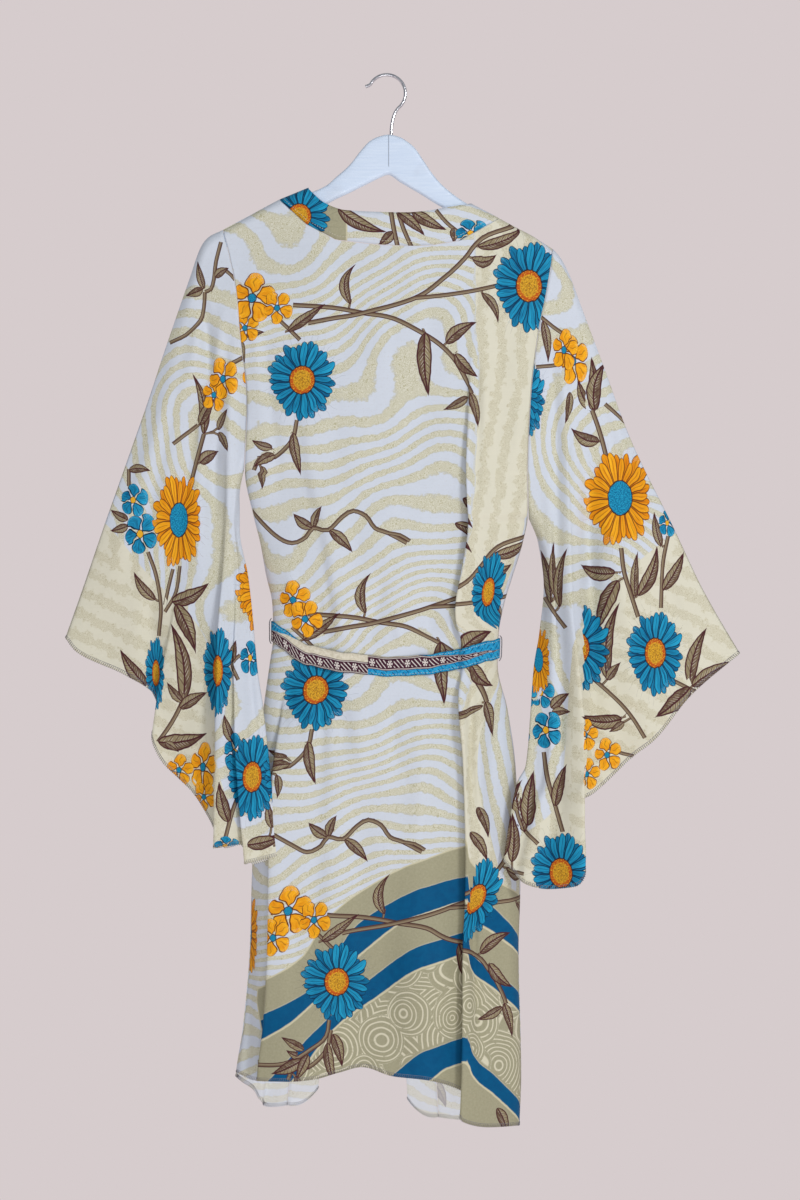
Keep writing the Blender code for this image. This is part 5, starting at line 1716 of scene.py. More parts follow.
class RobeSewing(bpy.types.PropertyGroup):
    """Overlock and topstitching."""

    pitch: FloatProperty(
        name="Stitch pitch", description="Distance between overlock stitches", default=0.0023, unit="LENGTH"
    )
    thread: FloatProperty(
        name="Thread", description="Radius of the overlock thread", default=0.00028, unit="LENGTH"
    )
    seed: IntProperty(name="Seed", description="Number that the stitches' unevenness starts from", default=7)


class RobeHanger(bpy.types.PropertyGroup):
    """The hanger's finish."""

    gloss: FloatProperty(name="Paint roughness", description="Roughness of the white paint", default=0.34)
    wire: FloatProperty(
        name="Hook wire", description="Thickness of the hook's wire", default=0.0037, unit="LENGTH"
    )


class RobeStage(bpy.types.PropertyGroup):
    """Camera, backdrop and lights."""

    lens: FloatProperty(name="Lens", description="Focal length in millimetres", default=70.0)
    key: FloatProperty(name="Key light", description="Power of the large soft light", default=28.0)
    fill: FloatProperty(name="Fill light", description="Power of the fill light", default=19.0)
    world: FloatProperty(name="World", description="Strength of the soft light all round", default=0.36)


def surface_group():
    """The cloth's surface as a node group."""
    return drawn_group(
        "cloth surface", {"Flat": VECTOR}, {"Height": VALUE, "Shade": VALUE, "Rough": VALUE}, draw_surface
    )


def robe_print(pale_and_glowing):
    """A material of the printed cloth: its right side, or its wrong side, paler and lifted by painted light.
    """
    settings = bpy.context.scene.robe_cloth
    group = shared("robe print", print_group)
    surface = shared("cloth surface", surface_group)

    def surface_of(tree):
        return use_group(tree, surface, Flat=flat_place(tree))

    def colour(tree):
        made = use_group(tree, group)["Colour"]
        if pale_and_glowing:
            # The wrong side's print is paler; the near-white it is mixed towards is brighter than the cloth's
            # own white, painted light that lifts it out of its shade
            made = mixed(settings.wrong_side_brightening, made, linear(248, 248, 250))
        return shaded(made, surface_of(tree)["Shade"])

    return finish(
        "robe cloth, wrong side" if pale_and_glowing else "robe cloth",
        colour,
        lambda tree: surface_of(tree)["Rough"],
        lambda tree: surface_of(tree)["Height"],
        distance=0.0012,
        Sheen_Weight=settings.sheen,
        Sheen_Roughness=0.5,
        Specular_IOR_Level=0.12,
        # Painted light: the wrong side glows in this near-white, which brightens it in its shade
        Emission_Color=linear(236, 240, 244),
        Emission_Strength=settings.painted_glow if pale_and_glowing else 0.0,
    )


def shared(name, make):
    """A node group or material that is made once."""
    for kind in (bpy.data.node_groups, bpy.data.materials):
        if name in kind:
            return kind[name]
    return make()


def print_materials():
    """The printed cloth's right side and its wrong side."""
    return [
        shared("robe cloth", lambda: robe_print(False)),
        shared("robe cloth, wrong side", lambda: robe_print(True)),
    ]


def back_cloth():
    """The back panel's cloth, with its listed creases."""
    points = back_points(back_columns(BACK_COLUMNS), levels())
    return Cloth(pulled(crumpled(points, 1.0), BACK_PULLS, -1))


def beside_crest(cloth):
    """How far each corner of the back lies right of the side fold's crest, in metres."""
    u, v = cloth.corners[..., 0], cloth.corners[..., 1]
    crest = np.array([cloth.place(x, y) for x, y in SIDE_CREST])
    return u - np.interp(v, crest[:, 1], crest[:, 0])


def crest_share(cloth):
    """How far a corner of the back lies in the ecru strip right of the side fold's crest."""
    beyond = beside_crest(cloth)
    wide = np.interp(cloth.corners[..., 1], *STRIP_WIDTH)
    return np.minimum(beyond / 0.004 + 0.5, (wide - beyond) / 0.012 + 0.5)


def front_cloth(which):
    """A front's cloth, with its listed creases."""
    half = HALVES[which]
    points = crumpled(front_points(which, front_shares(), levels()), half.front_seed)
    return Cloth(pulled(points, FRONT_PULLS, 1), way=-half.side)


def sleeve_cloth(which):
    """A sleeve's tube of cloth: its back layer from outer to inner edge, then its front layer."""
    half = HALVES[which]
    rows = np.linspace(0, 1, SLEEVE_ROWS + 1)
    shares = closer_at_ends(SLEEVE_BACK_COLUMNS, 0.6)
    back = crumpled(sleeve_layer(which, shares, rows, True), half.sleeve_seed)
    calm = ease(np.minimum(shares, 1 - shares) / 0.08)[None, :, None]
    back = back * (1 - calm) + pulled(back, SLEEVE_PULLS, -1) * calm
    front = sleeve_layer(which, closer_at_ends(SLEEVE_FRONT_COLUMNS, 0.6)[::-1], rows, False)
    tube = np.concatenate([back, front[:, 1:-1]], axis=1)
    return Cloth(tube, -half.side, closed=True, seen=back.shape[1], projected=True)


def back_marks(cloth):
    """The back's print: two repeats of stems and leaves and the start of a third, and the border."""
    stems, leaves = repeated(REPEAT_STEMS, REPEAT_LEAVES)
    return printed(
        cloth, BACK_BLOOMS, [*stems, *BACK_STEMS], [*leaves, *BACK_LEAVES], ease(crest_share(cloth)),
        (KHAKI_EDGE, *STRIPE_EDGES), left_end=BORDER_START,
    )


def front_marks(cloth, which):
    """The fronts are hidden from the picture's side: they carry the back's motifs in other places."""
    right, down = HALVES[which].front_shift
    stems, leaves = repeated(REPEAT_STEMS, REPEAT_LEAVES)
    stems = [moved_stem(stem, right, down) for stem in stems]
    leaves = [moved_leaf(leaf, right, down) for leaf in leaves]
    blooms = [bloom._replace(x=bloom.x + right, y=bloom.y + down, beside=0, edge=0) for bloom in BACK_BLOOMS]
    return printed(cloth, blooms, stems, leaves, NO_ECRU, shift=HALVES[which].front_start)


def sleeve_marks(cloth, which):
    """A sleeve's print, with its ecru cuff."""
    made = SLEEVE_PRINTS[which]
    ecru = line_over(cloth, made.cuff) / ECRU_EDGE_SOFT + 0.5
    return printed(
        cloth, made.blooms, made.stems, made.leaves, ecru,
        shift=made.shift, turn=made.turn, wide=SLEEVE_WAVES_WIDE,
    )


def band_cloth():
    """The neckband's cloth, laid flat from one hem over the neck to the other."""
    points = neckband_points()
    return Cloth(np.swapaxes(points, 0, 1)[:, ::-1], way=-1, projected=True)


def make_printed(name, cloth, marks, node, flip=False):
    """A printed piece of cloth in place of one solid."""
    thick = bpy.context.scene.robe_cloth.thickness / MM
    keep(cloth_object(name, cloth, marks, print_materials(), thick, flip), "printed_cloth", node)


class ROBE_OT_back(bpy.types.Operator):
    """Make the back panel with its print"""

    bl_idname = "robe.back"
    bl_label = "Back"

    def execute(self, context):
        cloth = back_cloth()
        make_printed("back_cloth", cloth, back_marks(cloth), "back_panel")
        return {"FINISHED"}


class ROBE_OT_fronts(bpy.types.Operator):
    """Make both front panels"""

    bl_idname = "robe.fronts"
    bl_label = "Fronts"

    def execute(self, context):
        for which in HALVES:
            cloth = front_cloth(which)
            marks = front_marks(cloth, which)
            make_printed(f"{which}_front_cloth", cloth, marks, f"front_{which}", flip=True)
        return {"FINISHED"}


class ROBE_OT_sleeves(bpy.types.Operator):
    """Make both sleeves with their folds and print"""

    bl_idname = "robe.sleeves"
    bl_label = "Sleeves"

    def execute(self, context):
        for which in HALVES:
            cloth = sleeve_cloth(which)
            make_printed(f"{which}_sleeve_cloth", cloth, sleeve_marks(cloth, which), f"sleeve_{which}")
        return {"FINISHED"}


class ROBE_OT_neckband(bpy.types.Operator):
    """Make the neckband round the neck and down both front edges"""

    bl_idname = "robe.neckband"
    bl_label = "Neckband"

    def execute(self, context):
        cloth = band_cloth()
        marks = printed(cloth, BAND_BLOOMS, BAND_STEMS, BAND_LEAVES, NO_ECRU, shift=BAND_START)
        left, right = (cloth.place(x, BAND_KHAKI_ROW)[0] for x in BAND_KHAKI)
        across, down = cloth.corners[..., 0], cloth.corners[..., 1]
        patch = np.minimum(across - left, right - across)
        marks["border_a"][..., 0] = np.minimum(patch, BAND_KHAKI_END - down)
        make_printed("neckband_cloth", cloth, marks, "neckband", flip=True)
        return {"FINISHED"}


def draw_belt(flat, place):
    """The belt's print along its length: maroon, sky blue, and cream with small marks."""
    u, v, _ = split(flat)
    x, up, _ = split(place)
    dark = [*bpy.context.scene.robe_belt.dark, 1.0]
    grain = noise(flat, 300.0, 3.0, 0.6)
    maroon = mixed(grain.over(0.55, 0.3), dark, linear(84, 46, 62))
    blue = mixed(grain.over(0.5, 0.3), linear(12, 128, 186), linear(56, 172, 216))
    leaning = (up - 0.5).over(0.0, 0.01) * 2 - 1
    herring = (u * 170 + leaning * v * 150).step_place()
    cross = (u * 85 - leaning * v * 75).math("FRACT")
    lines = abs(herring).under(0.10, 0.08) * cross.over(0.4, 0.05)
    blue = mixed(lines * 0.85, blue, linear(14, 66, 104))
    cream = mixed(grain.over(0.5, 0.3), linear(228, 222, 204), linear(206, 198, 176))

    def woven_band(lower, upper):
        """The dark band between two heights: two thin pale lines with small marks between them."""
        part = (up - lower) / (upper - lower) - 0.5
        lines = abs(abs(part) - 0.42).under(0.03, 0.03)
        step = (u * 52).math("FRACT")
        slant = ((step + part * 0.62) * 4.2).step_place()
        strokes = abs(slant).under(0.14, 0.08) * step.under(0.56, 0.02)
        across, rise = (step - 0.78) * 2.9, part * 1.55
        round_ = (across * across + rise * rise).math("SQRT")
        rays = (rise.math("ARCTAN2", across) * 6).math("COSINE").over(-0.3, 0.3)
        rosette = round_.under(0.46, 0.05) * (rays + round_.under(0.13, 0.03)).clamp()
        marks = (strokes + rosette).clamp() * abs(part).under(0.31, 0.04)
        worn = grain.over(0.34, 0.2)
        return mixed((marks * worn + lines * 0.8).clamp(), maroon, linear(222, 214, 208))

    sky_left = (up - (x + 0.123) * 15 - 0.62).over(0.0, 0.05) * x.under(-0.095, 0.002)
    left = mixed(up.over(0.62, 0.03), woven_band(0.0, 0.62), cream)
    left = mixed(sky_left, left, blue)
    middle = mixed(up.under(0.30, 0.03), woven_band(0.30, 0.95), blue)
    middle = mixed(up.over(0.95, 0.02), middle, cream)
    middle_from, right_from = BELT_PRINT_CHANGES
    low = (x - right_from) * 1.7 + 0.28
    high = (x - right_from) * -6.2 + 1.0
    right = mixed((low - up).over(0.0, 0.03), woven_band(low, high), blue)
    right = mixed((up - high).over(0.0, 0.03), right, blue)
    colour = mixed(x.over(middle_from, 0.001), left, middle)
    colour = mixed(x.over(right_from, 0.001), colour, right)
    edge = abs(up - 0.5).over(0.46, 0.02)
    return mixed(edge * 0.35, colour, linear(40, 30, 44)), grain * 0.4 + noise(flat, 60.0) * 0.8


def belt_material():
    """The belt's woven print."""
    inputs, outputs = {"Flat": VECTOR, "Place": VECTOR}, {"Colour": COLOUR, "Height": VALUE}
    group = drawn_group("belt print", inputs, outputs, draw_belt)

    def both(tree):
        return use_group(tree, group, Flat=flat_place(tree), Place=attribute(tree, "belt_place"))

    return finish(
        "belt cloth", lambda tree: both(tree)["Colour"], 0.8, lambda tree: both(tree)["Height"],
        distance=0.0012, Sheen_Weight=0.02, Specular_IOR_Level=0.12,
    )


def ring_cloth():
    """The belt's ring, softly waved along its edges, from its upper to its lower edge."""
    rings = belt_rings()
    steps = np.linspace(0, 2 * math.pi, rings.shape[1], endpoint=False)
    wave = 0.5 * np.sin(steps * 11 + 1) + 0.35 * np.sin(steps * 23)
    middle = np.linspace(-1, 1, rings.shape[0])
    for k in range(rings.shape[0]):
        rings[k] = moved_out(rings[k], 0.25 * (1 - middle[k] ** 2))
        rings[k, :, 2] += wave * 0.9
    return rings


class ROBE_OT_belt(bpy.types.Operator):
    """Make the tied belt: its ring, knot and two ends"""

    bl_idname = "robe.belt"
    bl_label = "Belt"

    def execute(self, context):
        rings = ring_cloth()
        cloth = Cloth(rings, closed=True)
        last, columns = rings.shape[0] - 1, rings.shape[1]
        places = np.zeros((len(cloth.faces), 4, 3))
        points = cloth.points.reshape(-1, 3)[cloth.faces]
        places[..., 0] = np.where(points[..., 1] < 0.01, points[..., 0], 0.05)
        places[..., 1] = 1 - cloth.faces // columns / last
        cloth_finish = belt_material()
        thick = context.scene.robe_belt.thickness / MM
        made = cloth_object("belt_ring", cloth, {"belt_place": places}, [cloth_finish], thick)
        keep(made, "belt_cloth", "belt")
        place = knot_place(rings)
        knot = wrapped_knot(place)
        knot.data.materials.append(cloth_finish)
        keep(knot, "belt_cloth", "belt_knot")
        for which in HALVES:
            keep(belt_tail(which, place, cloth_finish), "belt_cloth", f"belt_end_{which}")
        return {"FINISHED"}


def fuller(value, power):
    """A sine or cosine drawn out towards 1 or -1, which makes a form squarer."""
    return math.copysign(abs(value) ** power, value)


def wrapped_knot(place):
    """A soft knot: a rounded bundle, pulled in at its sides and creased where the ends leave it."""
    across, tall, deep = KNOT_SIZE[0] / 2, KNOT_SIZE[2] / 2, KNOT_SIZE[1] / 2
    turns = np.linspace(0, 2 * math.pi, 49)[:-1]
    lifts = np.linspace(-math.pi / 2, math.pi / 2, 25)
    rows = []
    for lift in lifts:
        ring = []
        for turn in turns:
            x = fuller(math.cos(turn), 0.7) * math.cos(lift) ** 0.6
            y = fuller(math.sin(turn), 0.8) * math.cos(lift) ** 0.6
            up = fuller(math.sin(lift), 0.8)
            full = 1.0
            for crease in KNOT_CREASES:
                off = (x * crease.across + up * crease.up - crease.off) / crease.wide
                full -= crease.deep * math.exp(-off ** 2)
            ring.append((x * across * full, y * deep * full, up * tall * (1 - 0.05 * x * x)))
        rows.append(ring)
    grid = np.array(rows)
    made = grid_object("wrapped_belt_knot", grid + place)
    loops = len(made.data.loops)
    layer = made.data.uv_layers.new(name="cloth")
    index = np.empty(loops, np.int32)
    made.data.loops.foreach_get("vertex_index", index)
    points = np.empty(len(made.data.vertices) * 3, np.float32)
    made.data.vertices.foreach_get("co", points)
    points = points.reshape(-1, 3)[index]
    flat = np.stack([points[:, 0] + 0.3 * points[:, 2], points[:, 2]], axis=-1)
    layer.data.foreach_set("uv", flat.astype(np.float32).ravel())
    mark = made.data.attributes.new("belt_place", "FLOAT_VECTOR", "CORNER")
    local = np.zeros((loops, 3), np.float32)
    local[:, 0] = -0.08
    local[:, 1] = (points[:, 2] - points[:, 0] * 0.35 - place[2] * MM) / (2.2 * tall * MM) + 0.5
    mark.data.foreach_set("vector", local.ravel())
    return made


def grid_object(name, points, poles=True):
    """A smooth closed object of rings of points in mm: its end rings are points, or get a face each."""
    rows, columns = points.shape[:2]
    mesh = bpy.data.meshes.new(name)
    r, c = np.meshgrid(np.arange(rows - 1), np.arange(columns), indexing="ij")
    faces = quads(r, c, columns, (c + 1) % columns)[:, [0, 3, 2, 1]]
    mesh.from_pydata((points.reshape(-1, 3) * MM).tolist(), [], faces.tolist())
    shape = bmesh.new()
    shape.from_mesh(mesh)
    bmesh.ops.remove_doubles(shape, verts=shape.verts, dist=1e-6)
    if not poles:
        edges = [edge for edge in shape.edges if edge.is_boundary]
        bmesh.ops.contextual_create(shape, geom=edges)
    bmesh.ops.recalc_face_normals(shape, faces=shape.faces)
    shape.to_mesh(mesh)
    shape.free()
    mesh.shade_smooth()
    return placed(name, mesh)


def belt_tail(which, place, cloth_finish):
    """One free end of the belt, hanging from the knot with a slow twist."""
    side = HALVES[which].side
    drop = np.linspace(0, 1, 70)
    start = place[2] - KNOT_SIZE[2] / 2 - SEAM
    middle_x = side * (TAIL_BESIDE + TAIL_SPREAD * drop)
    y = place[1] + TAIL_FORWARD * ease(drop) + side * TAIL_APART
    height = start - (BELT_END_LENGTH + side * TAIL_LENGTH_OFF) * drop
    rows = []
    for across in np.linspace(-0.5, 0.5, 13):
        bow = 3 * abs(across) * drop + 0.8 * np.sin(drop * 9 + side) * across * 2
        rows.append(np.stack([middle_x + across * BELT_WIDTH, y + bow, height], axis=1))
    grid = np.swapaxes(np.array(rows), 0, 1)
    cloth = Cloth(grid)
    cloth.corners = cloth.corners[..., ::-1].copy()
    columns = grid.shape[1]
    local = np.zeros((len(cloth.faces), 4, 3))
    local[..., 0] = -0.10
    local[..., 1] = 1 - (cloth.faces % columns) / (columns - 1)
    local[..., 2] = cloth.points.reshape(-1, 3)[cloth.faces][..., 2]
    return cloth_object(
        f"belt_tail_{which}", cloth, {"belt_place": local}, [cloth_finish], BELT_THICK, flip=True
    )


def thread_line(name, points, radius, thread_finish, sides=8):
    """A round thread or wire along points in mm, with its ends closed."""
    curve = bpy.data.curves.new(name, "CURVE")
    curve.dimensions = "3D"
    curve.bevel_depth = radius * MM
    curve.bevel_resolution = max(1, sides // 4)
    curve.use_fill_caps = True
    spline = curve.splines.new("POLY")
    spline.points.add(len(points) - 1)
    for point, place in zip(spline.points, points):
        point.co = (*(np.asarray(place) * MM), 1)
    curve.materials.append(thread_finish)
    made = plain(placed(name, curve))
    made.data.shade_smooth()
    return made


class ROBE_OT_loops(bpy.types.Operator):
    """Make the two thread loops that hold the belt at the side seams"""

    bl_idname = "robe.loops"
    bl_label = "Belt loops"

    def execute(self, context):
        thread = finish("loop thread", flecked(900.0, 0.3, (150, 146, 150), (120, 116, 122)), 0.7)
        near_cloth = WALL / 2 + LOOP_OFF_CLOTH
        over_belt = WALL / 2 + BELT_CLEAR + BELT_THICK + LOOP_OVER_BELT
        for which, half in HALVES.items():
            strands = []
            for start in (0.0, math.pi):
                points = []
                for turn in np.linspace(-1, 1, 90):
                    height = half.belt + turn * (BELT_WIDTH / 2 + LOOP_PAST_BELT)
                    beside = between(BODY_SIDES, "height", which, height)
                    out = near_cloth + (over_belt - near_cloth + 0.8) * (1 - turn**6)
                    twist = turn * LOOP_TWIST + start
                    x = beside + half.side * (out + LOOP_THREAD * math.cos(twist))
                    points.append(seen_from_behind(x, LOOP_THREAD * math.sin(twist), height))
                strands.append(points)
            made = [
                thread_line(f"strand_{which}_{number}", points, LOOP_THREAD, thread, 4)
                for number, points in enumerate(strands)
            ]
            keep(join_objects(f"twisted_loop_{which}", made), "loop_thread", f"belt_loop_{which}")
        return {"FINISHED"}


def object_place(tree):
    """The place in the robe's own frame, in metres."""
    return term(tree, "ShaderNodeTexCoord", {}, "Object")


def join_objects(name, parts):
    """One object of several, all at the origin."""
    shape = bmesh.new()
    for part in parts:
        shape.from_mesh(part.data)
    mesh = bpy.data.meshes.new(name)
    shape.to_mesh(mesh)
    shape.free()
    for kept in parts[0].data.materials:
        mesh.materials.append(kept)
    mesh.shade_smooth()
    for part in parts:
        bpy.data.objects.remove(part)
    return placed(name, mesh)


def fine_planks():
    """The hanger's columns, smoothly filled in between the table's."""
    planks = hanger_planks()
    xs = [plank.x for plank in planks]
    fine = np.unique(np.concatenate([xs, np.linspace(xs[0], xs[-1], 150)]))
    tops, bottoms = (between(planks, "x", edge, fine) for edge in ("top", "bottom"))
    return [Plank(*column) for column in zip(fine, tops, bottoms)]


class ROBE_OT_hanger(bpy.types.Operator):
    """Make the painted wooden hanger and its wire hook"""

    bl_idname = "robe.hanger"
    bl_label = "Hanger"

    def execute(self, context):
        settings = context.scene.robe_hanger

        def brushed(tree):
            x, y, z = split(object_place(tree))
            return noise(vector_of(x * 40, y * 300, z * 520), 1.0, 3.0)

        def paint(tree):
            place = object_place(tree)
            x, _, z = split(place)
            grime = noise(place, 26.0, 3.0)
            colour = mixed(brushed(tree).over(0.5, 0.5), linear(220, 234, 252), linear(208, 224, 246))
            colour = mixed(grime.over(0.62, 0.15) * 0.35, colour, linear(196, 204, 220))
            joint = abs(x - 0.0005).under(0.0005, 0.0004) * z.over(-0.100, 0.002)
            return mixed(joint * 0.7, colour, linear(120, 128, 146))

        def metal(tree):
            marks = noise(object_place(tree), 240.0, 3.0)
            return mixed(marks.over(0.55, 0.2), linear(214, 214, 220), linear(188, 188, 196))

        wood = finish("white painted wood", paint, settings.gloss, brushed, distance=0.0003, Coat_Weight=0.15)
        sections = np.array([plank_section(plank) for plank in fine_planks()])
        made = grid_object("painted_hanger", finer_sections(sections), poles=False)
        made.data.materials.append(wood)
        keep(made, "white_painted_wood", "hanger_wood")

        chrome = finish(
            "hook wire", metal,
            lambda tree: noise(object_place(tree), 300.0) * 0.14 + 0.14,
            lambda tree: noise(object_place(tree), 420.0), distance=0.0001, Metallic=1.0,
        )
        flat = smooth_line(hook_line(), 1.2)
        points = np.stack([flat[:, 0], np.zeros(len(flat)), flat[:, 1]], axis=1)
        hook = thread_line("hook_wire", points, settings.wire / MM / 2, chrome, 24)
        keep(hook, "chrome_wire", "hanger_hook")
        return {"FINISHED"}


def finer_sections(sections):
    """The hanger's outline rings with their corners rounded by more points."""
    rings = sections
    for _ in range(2):
        after = np.roll(rings, -1, axis=1)
        cut = np.stack([rings * 0.75 + after * 0.25, rings * 0.25 + after * 0.75], axis=2)
        rings = cut.reshape(len(rings), -1, 3)
    return rings


def stitch_tree(name, overlock):
    """Geometry nodes that sew along an edge: overlock loops round it, or a row of straight stitches."""
    inputs = {
        "Edge": "NodeSocketGeometry", "Pitch": VALUE, "Thread": VALUE, "Reach": VALUE,
        "Seed": "NodeSocketInt", "Material": "NodeSocketMaterial",
    }

    def sew(edge, pitch, thread, reach, seed, material):
        tree = edge.tree
        line = term(tree, "GeometryNodeMeshToCurve", {"Mesh": edge}, "Curve")
        given = {"Curve": line, "Length": pitch}
        even = term(tree, "GeometryNodeResampleCurve", given, "Curve", mode="LENGTH")
        inward = term(
            tree, "GeometryNodeInputNamedAttribute", {"Name": "inward"}, "Attribute", data_type="FLOAT_VECTOR"
        )
        tangent = term(tree, "GeometryNodeInputTangent", {}, "Tangent")
        upright = term(tree, "FunctionNodeAlignRotationToVector", {"Vector": inward}, "Rotation", axis="Z")
        onward = term(
            tree, "FunctionNodeAlignRotationToVector", {"Rotation": upright, "Vector": tangent}, "Rotation",
            axis="X", pivot_axis="Z",
        )
        uneven = term(
            tree, "FunctionNodeRandomValue", {"Min": (0.9, 0.9, 0.88), "Max": (1.1, 1.1, 1.1), "Seed": seed},
            "Value", data_type="FLOAT_VECTOR",
        )
        stitch = overlock_loop(thread, reach) if overlock else straight_stitch(thread, reach)
        given = {"Points": even, "Instance": stitch, "Rotation": onward, "Scale": uneven}
        copies = term(tree, "GeometryNodeInstanceOnPoints", given, "Instances")
        sewing = term(tree, "GeometryNodeJoinGeometry", {}, "Geometry")
        together = sewing.socket.node.inputs["Geometry"]
        if overlock:
            join(tree, edge_thread(even, inward, reach), together)
        join(tree, term(tree, "GeometryNodeRealizeInstances", {"Geometry": copies}, "Geometry"), together)
        smooth = term(tree, "GeometryNodeSetShadeSmooth", {"Geometry": sewing}, "Geometry")
        return [term(tree, "GeometryNodeSetMaterial", {"Geometry": smooth, "Material": material}, "Geometry")]

    return drawn_group(name, inputs, {"Stitches": "NodeSocketGeometry"}, sew, "GeometryNodeTree")


def overlock_loop(thread, reach):
    """One loop of thread round the edge of the cloth."""
    tree = thread.tree
    half = reach * 0.5
    loop = term(tree, "GeometryNodeCurvePrimitiveCircle", {"Resolution": 12, "Radius": 1.0}, "Curve")
    size = vector_of(half, OVERLOCK_HALF_THICK * MM, 1.0)
    flat = term(tree, "GeometryNodeTransform", {"Geometry": loop, "Scale": size}, "Geometry")
    given = {
        "Geometry": flat,
        "Translation": vector_of(0.0, 0.0, half - thread),
        "Rotation": (0, -math.pi / 2 + OVERLOCK_SLANT, 0),
    }
    standing = term(tree, "GeometryNodeTransform", given, "Geometry")
    profile = term(tree, "GeometryNodeCurvePrimitiveCircle", {"Resolution": 5, "Radius": thread}, "Curve")
    return term(tree, "GeometryNodeCurveToMesh", {"Curve": standing, "Profile Curve": profile}, "Mesh")


def edge_thread(even, inward, reach):
    """The thread that runs along the inner ends of the overlock's loops."""
    tree = even.tree
    away = term(tree, "ShaderNodeVectorMath", {0: inward, "Scale": reach}, operation="SCALE")
    moved = term(tree, "GeometryNodeSetPosition", {"Geometry": even, "Offset": away}, "Geometry")
    given = {"Resolution": 6, "Radius": OVERLOCK_HALF_THICK * MM * 0.8}
    core = term(tree, "GeometryNodeCurvePrimitiveCircle", given, "Curve")
    given = {"Curve": moved, "Profile Curve": core, "Fill Caps": True}
    return term(tree, "GeometryNodeCurveToMesh", given, "Mesh")


def straight_stitch(thread, reach):
    """One straight stitch: a ball of thread drawn out along the seam."""
    tree = thread.tree
    dash = term(tree, "GeometryNodeMeshUVSphere", {"Segments": 8, "Rings": 4, "Radius": thread}, "Mesh")
    given = {"Geometry": dash, "Scale": vector_of(reach / thread, 1.0, 1.0)}
    return term(tree, "GeometryNodeTransform", given, "Geometry")


def sewn(name, points, inward, tree, thread_finish, pitch, thread, reach, seed, closed=False):
    """Stitches along a line of points in mm, as a plain mesh."""
    mesh = bpy.data.meshes.new(name)
    count = len(points)
    edges = [(k, (k + 1) % count) for k in range(count if closed else count - 1)]
    mesh.from_pydata((points * MM).tolist(), edges, [])
    mark = mesh.attributes.new("inward", "FLOAT_VECTOR", "POINT")
    inward = inward / np.linalg.norm(inward, axis=1, keepdims=True)
    mark.data.foreach_set("vector", inward.astype(np.float32).ravel())
    made = placed(name, mesh)
    nodes = made.modifiers.new("sewing", "NODES")
    nodes.node_group = tree
    given = {"Pitch": pitch, "Thread": thread, "Reach": reach, "Seed": seed, "Material": thread_finish}
    for socket in tree.interface.items_tree:
        if socket.in_out == "INPUT" and socket.name in given:
            nodes[socket.identifier] = given[socket.name]
    return plain(made)


class ROBE_OT_sewing(bpy.types.Operator):
    """Sew overlock along the hems and cuffs, and topstitch the neckband and the belt"""

    bl_idname = "robe.sewing"
    bl_label = "Sewing"

    def execute(self, context):
        settings = context.scene.robe_sewing
        thread, seed = settings.thread, settings.seed
        grey = flecked(500.0, 0.4, (140, 136, 142), (92, 90, 98))
        pale = flecked(500.0, 0.4, (222, 216, 202), (196, 188, 172))
        grey_thread = finish("overlock thread", grey, 0.75, Sheen_Weight=0.1)
        pale_thread = finish("topstitch thread", pale, 0.7, Sheen_Weight=0.1)
        overlock = stitch_tree("overlock", True)
        topstitch = stitch_tree("topstitch", False)

        def hem(name, points, inner, closed=False):
            made = sewn(
                name, points, inner - points, overlock, grey_thread,
                settings.pitch, thread, OVERLOCK_REACH * MM, seed, closed,
            )
            keep(made, "loop_thread")

        def row(name, points, square, thick, closed=False):
            made = sewn(
                name, points + square * (thick / 2 + 0.05), np.cross(np.gradient(points, axis=0), square),
                topstitch, pale_thread,
                TOPSTITCH_PITCH * MM, thread * 0.8, TOPSTITCH_LENGTH / 2 * MM, seed, closed,
            )
            keep(made, "loop_thread")

        back = back_cloth().points / MM
        hem("back_hem_overlock", back[-1], back[-2])
        for which in HALVES:
            front = front_cloth(which).points / MM
            hem(f"{which}_front_hem_overlock", front[-1], front[-2])
            sleeve = sleeve_cloth(which).points / MM
            hem(f"{which}_cuff_overlock", sleeve[-1], sleeve[-2], closed=True)
        band = band_cloth().points / MM
        hem("right_band_hem_overlock", band[:, 0], band[:, 1])
        hem("left_band_hem_overlock", band[:, -1], band[:, -2])

        seam = band[SEAM_ROW]
        square = np.cross(np.gradient(seam, axis=0), band[SEAM_ROW - 1] - seam)
        square /= np.linalg.norm(square, axis=1, keepdims=True)
        square *= -math.copysign(1, square[len(square) // 2, 1])
        row("neckband_topstitch", seam, square, CLOTH)
        rings = ring_cloth()
        for name, k in (("upper", 1), ("lower", len(rings) - 2)):
            row(f"belt_{name}_topstitch", rings[k], moved_out(rings[k], 1.0) - rings[k], BELT_THICK, True)
        return {"FINISHED"}


class ROBE_OT_cuts(bpy.types.Operator):
    """Go through the flat cut of each piece of cloth and look up the sewing that goes with it"""

    bl_idname = "robe.cuts"
    bl_label = "Flat cuts"

    def execute(self, context):
        for cut in CUTS:
            sewing = [bpy.data.objects[name] for name in cut.sewing]
            cut.wide * MM
            cut.long * MM
            list(cut.rests_on)
        return {"FINISHED"}


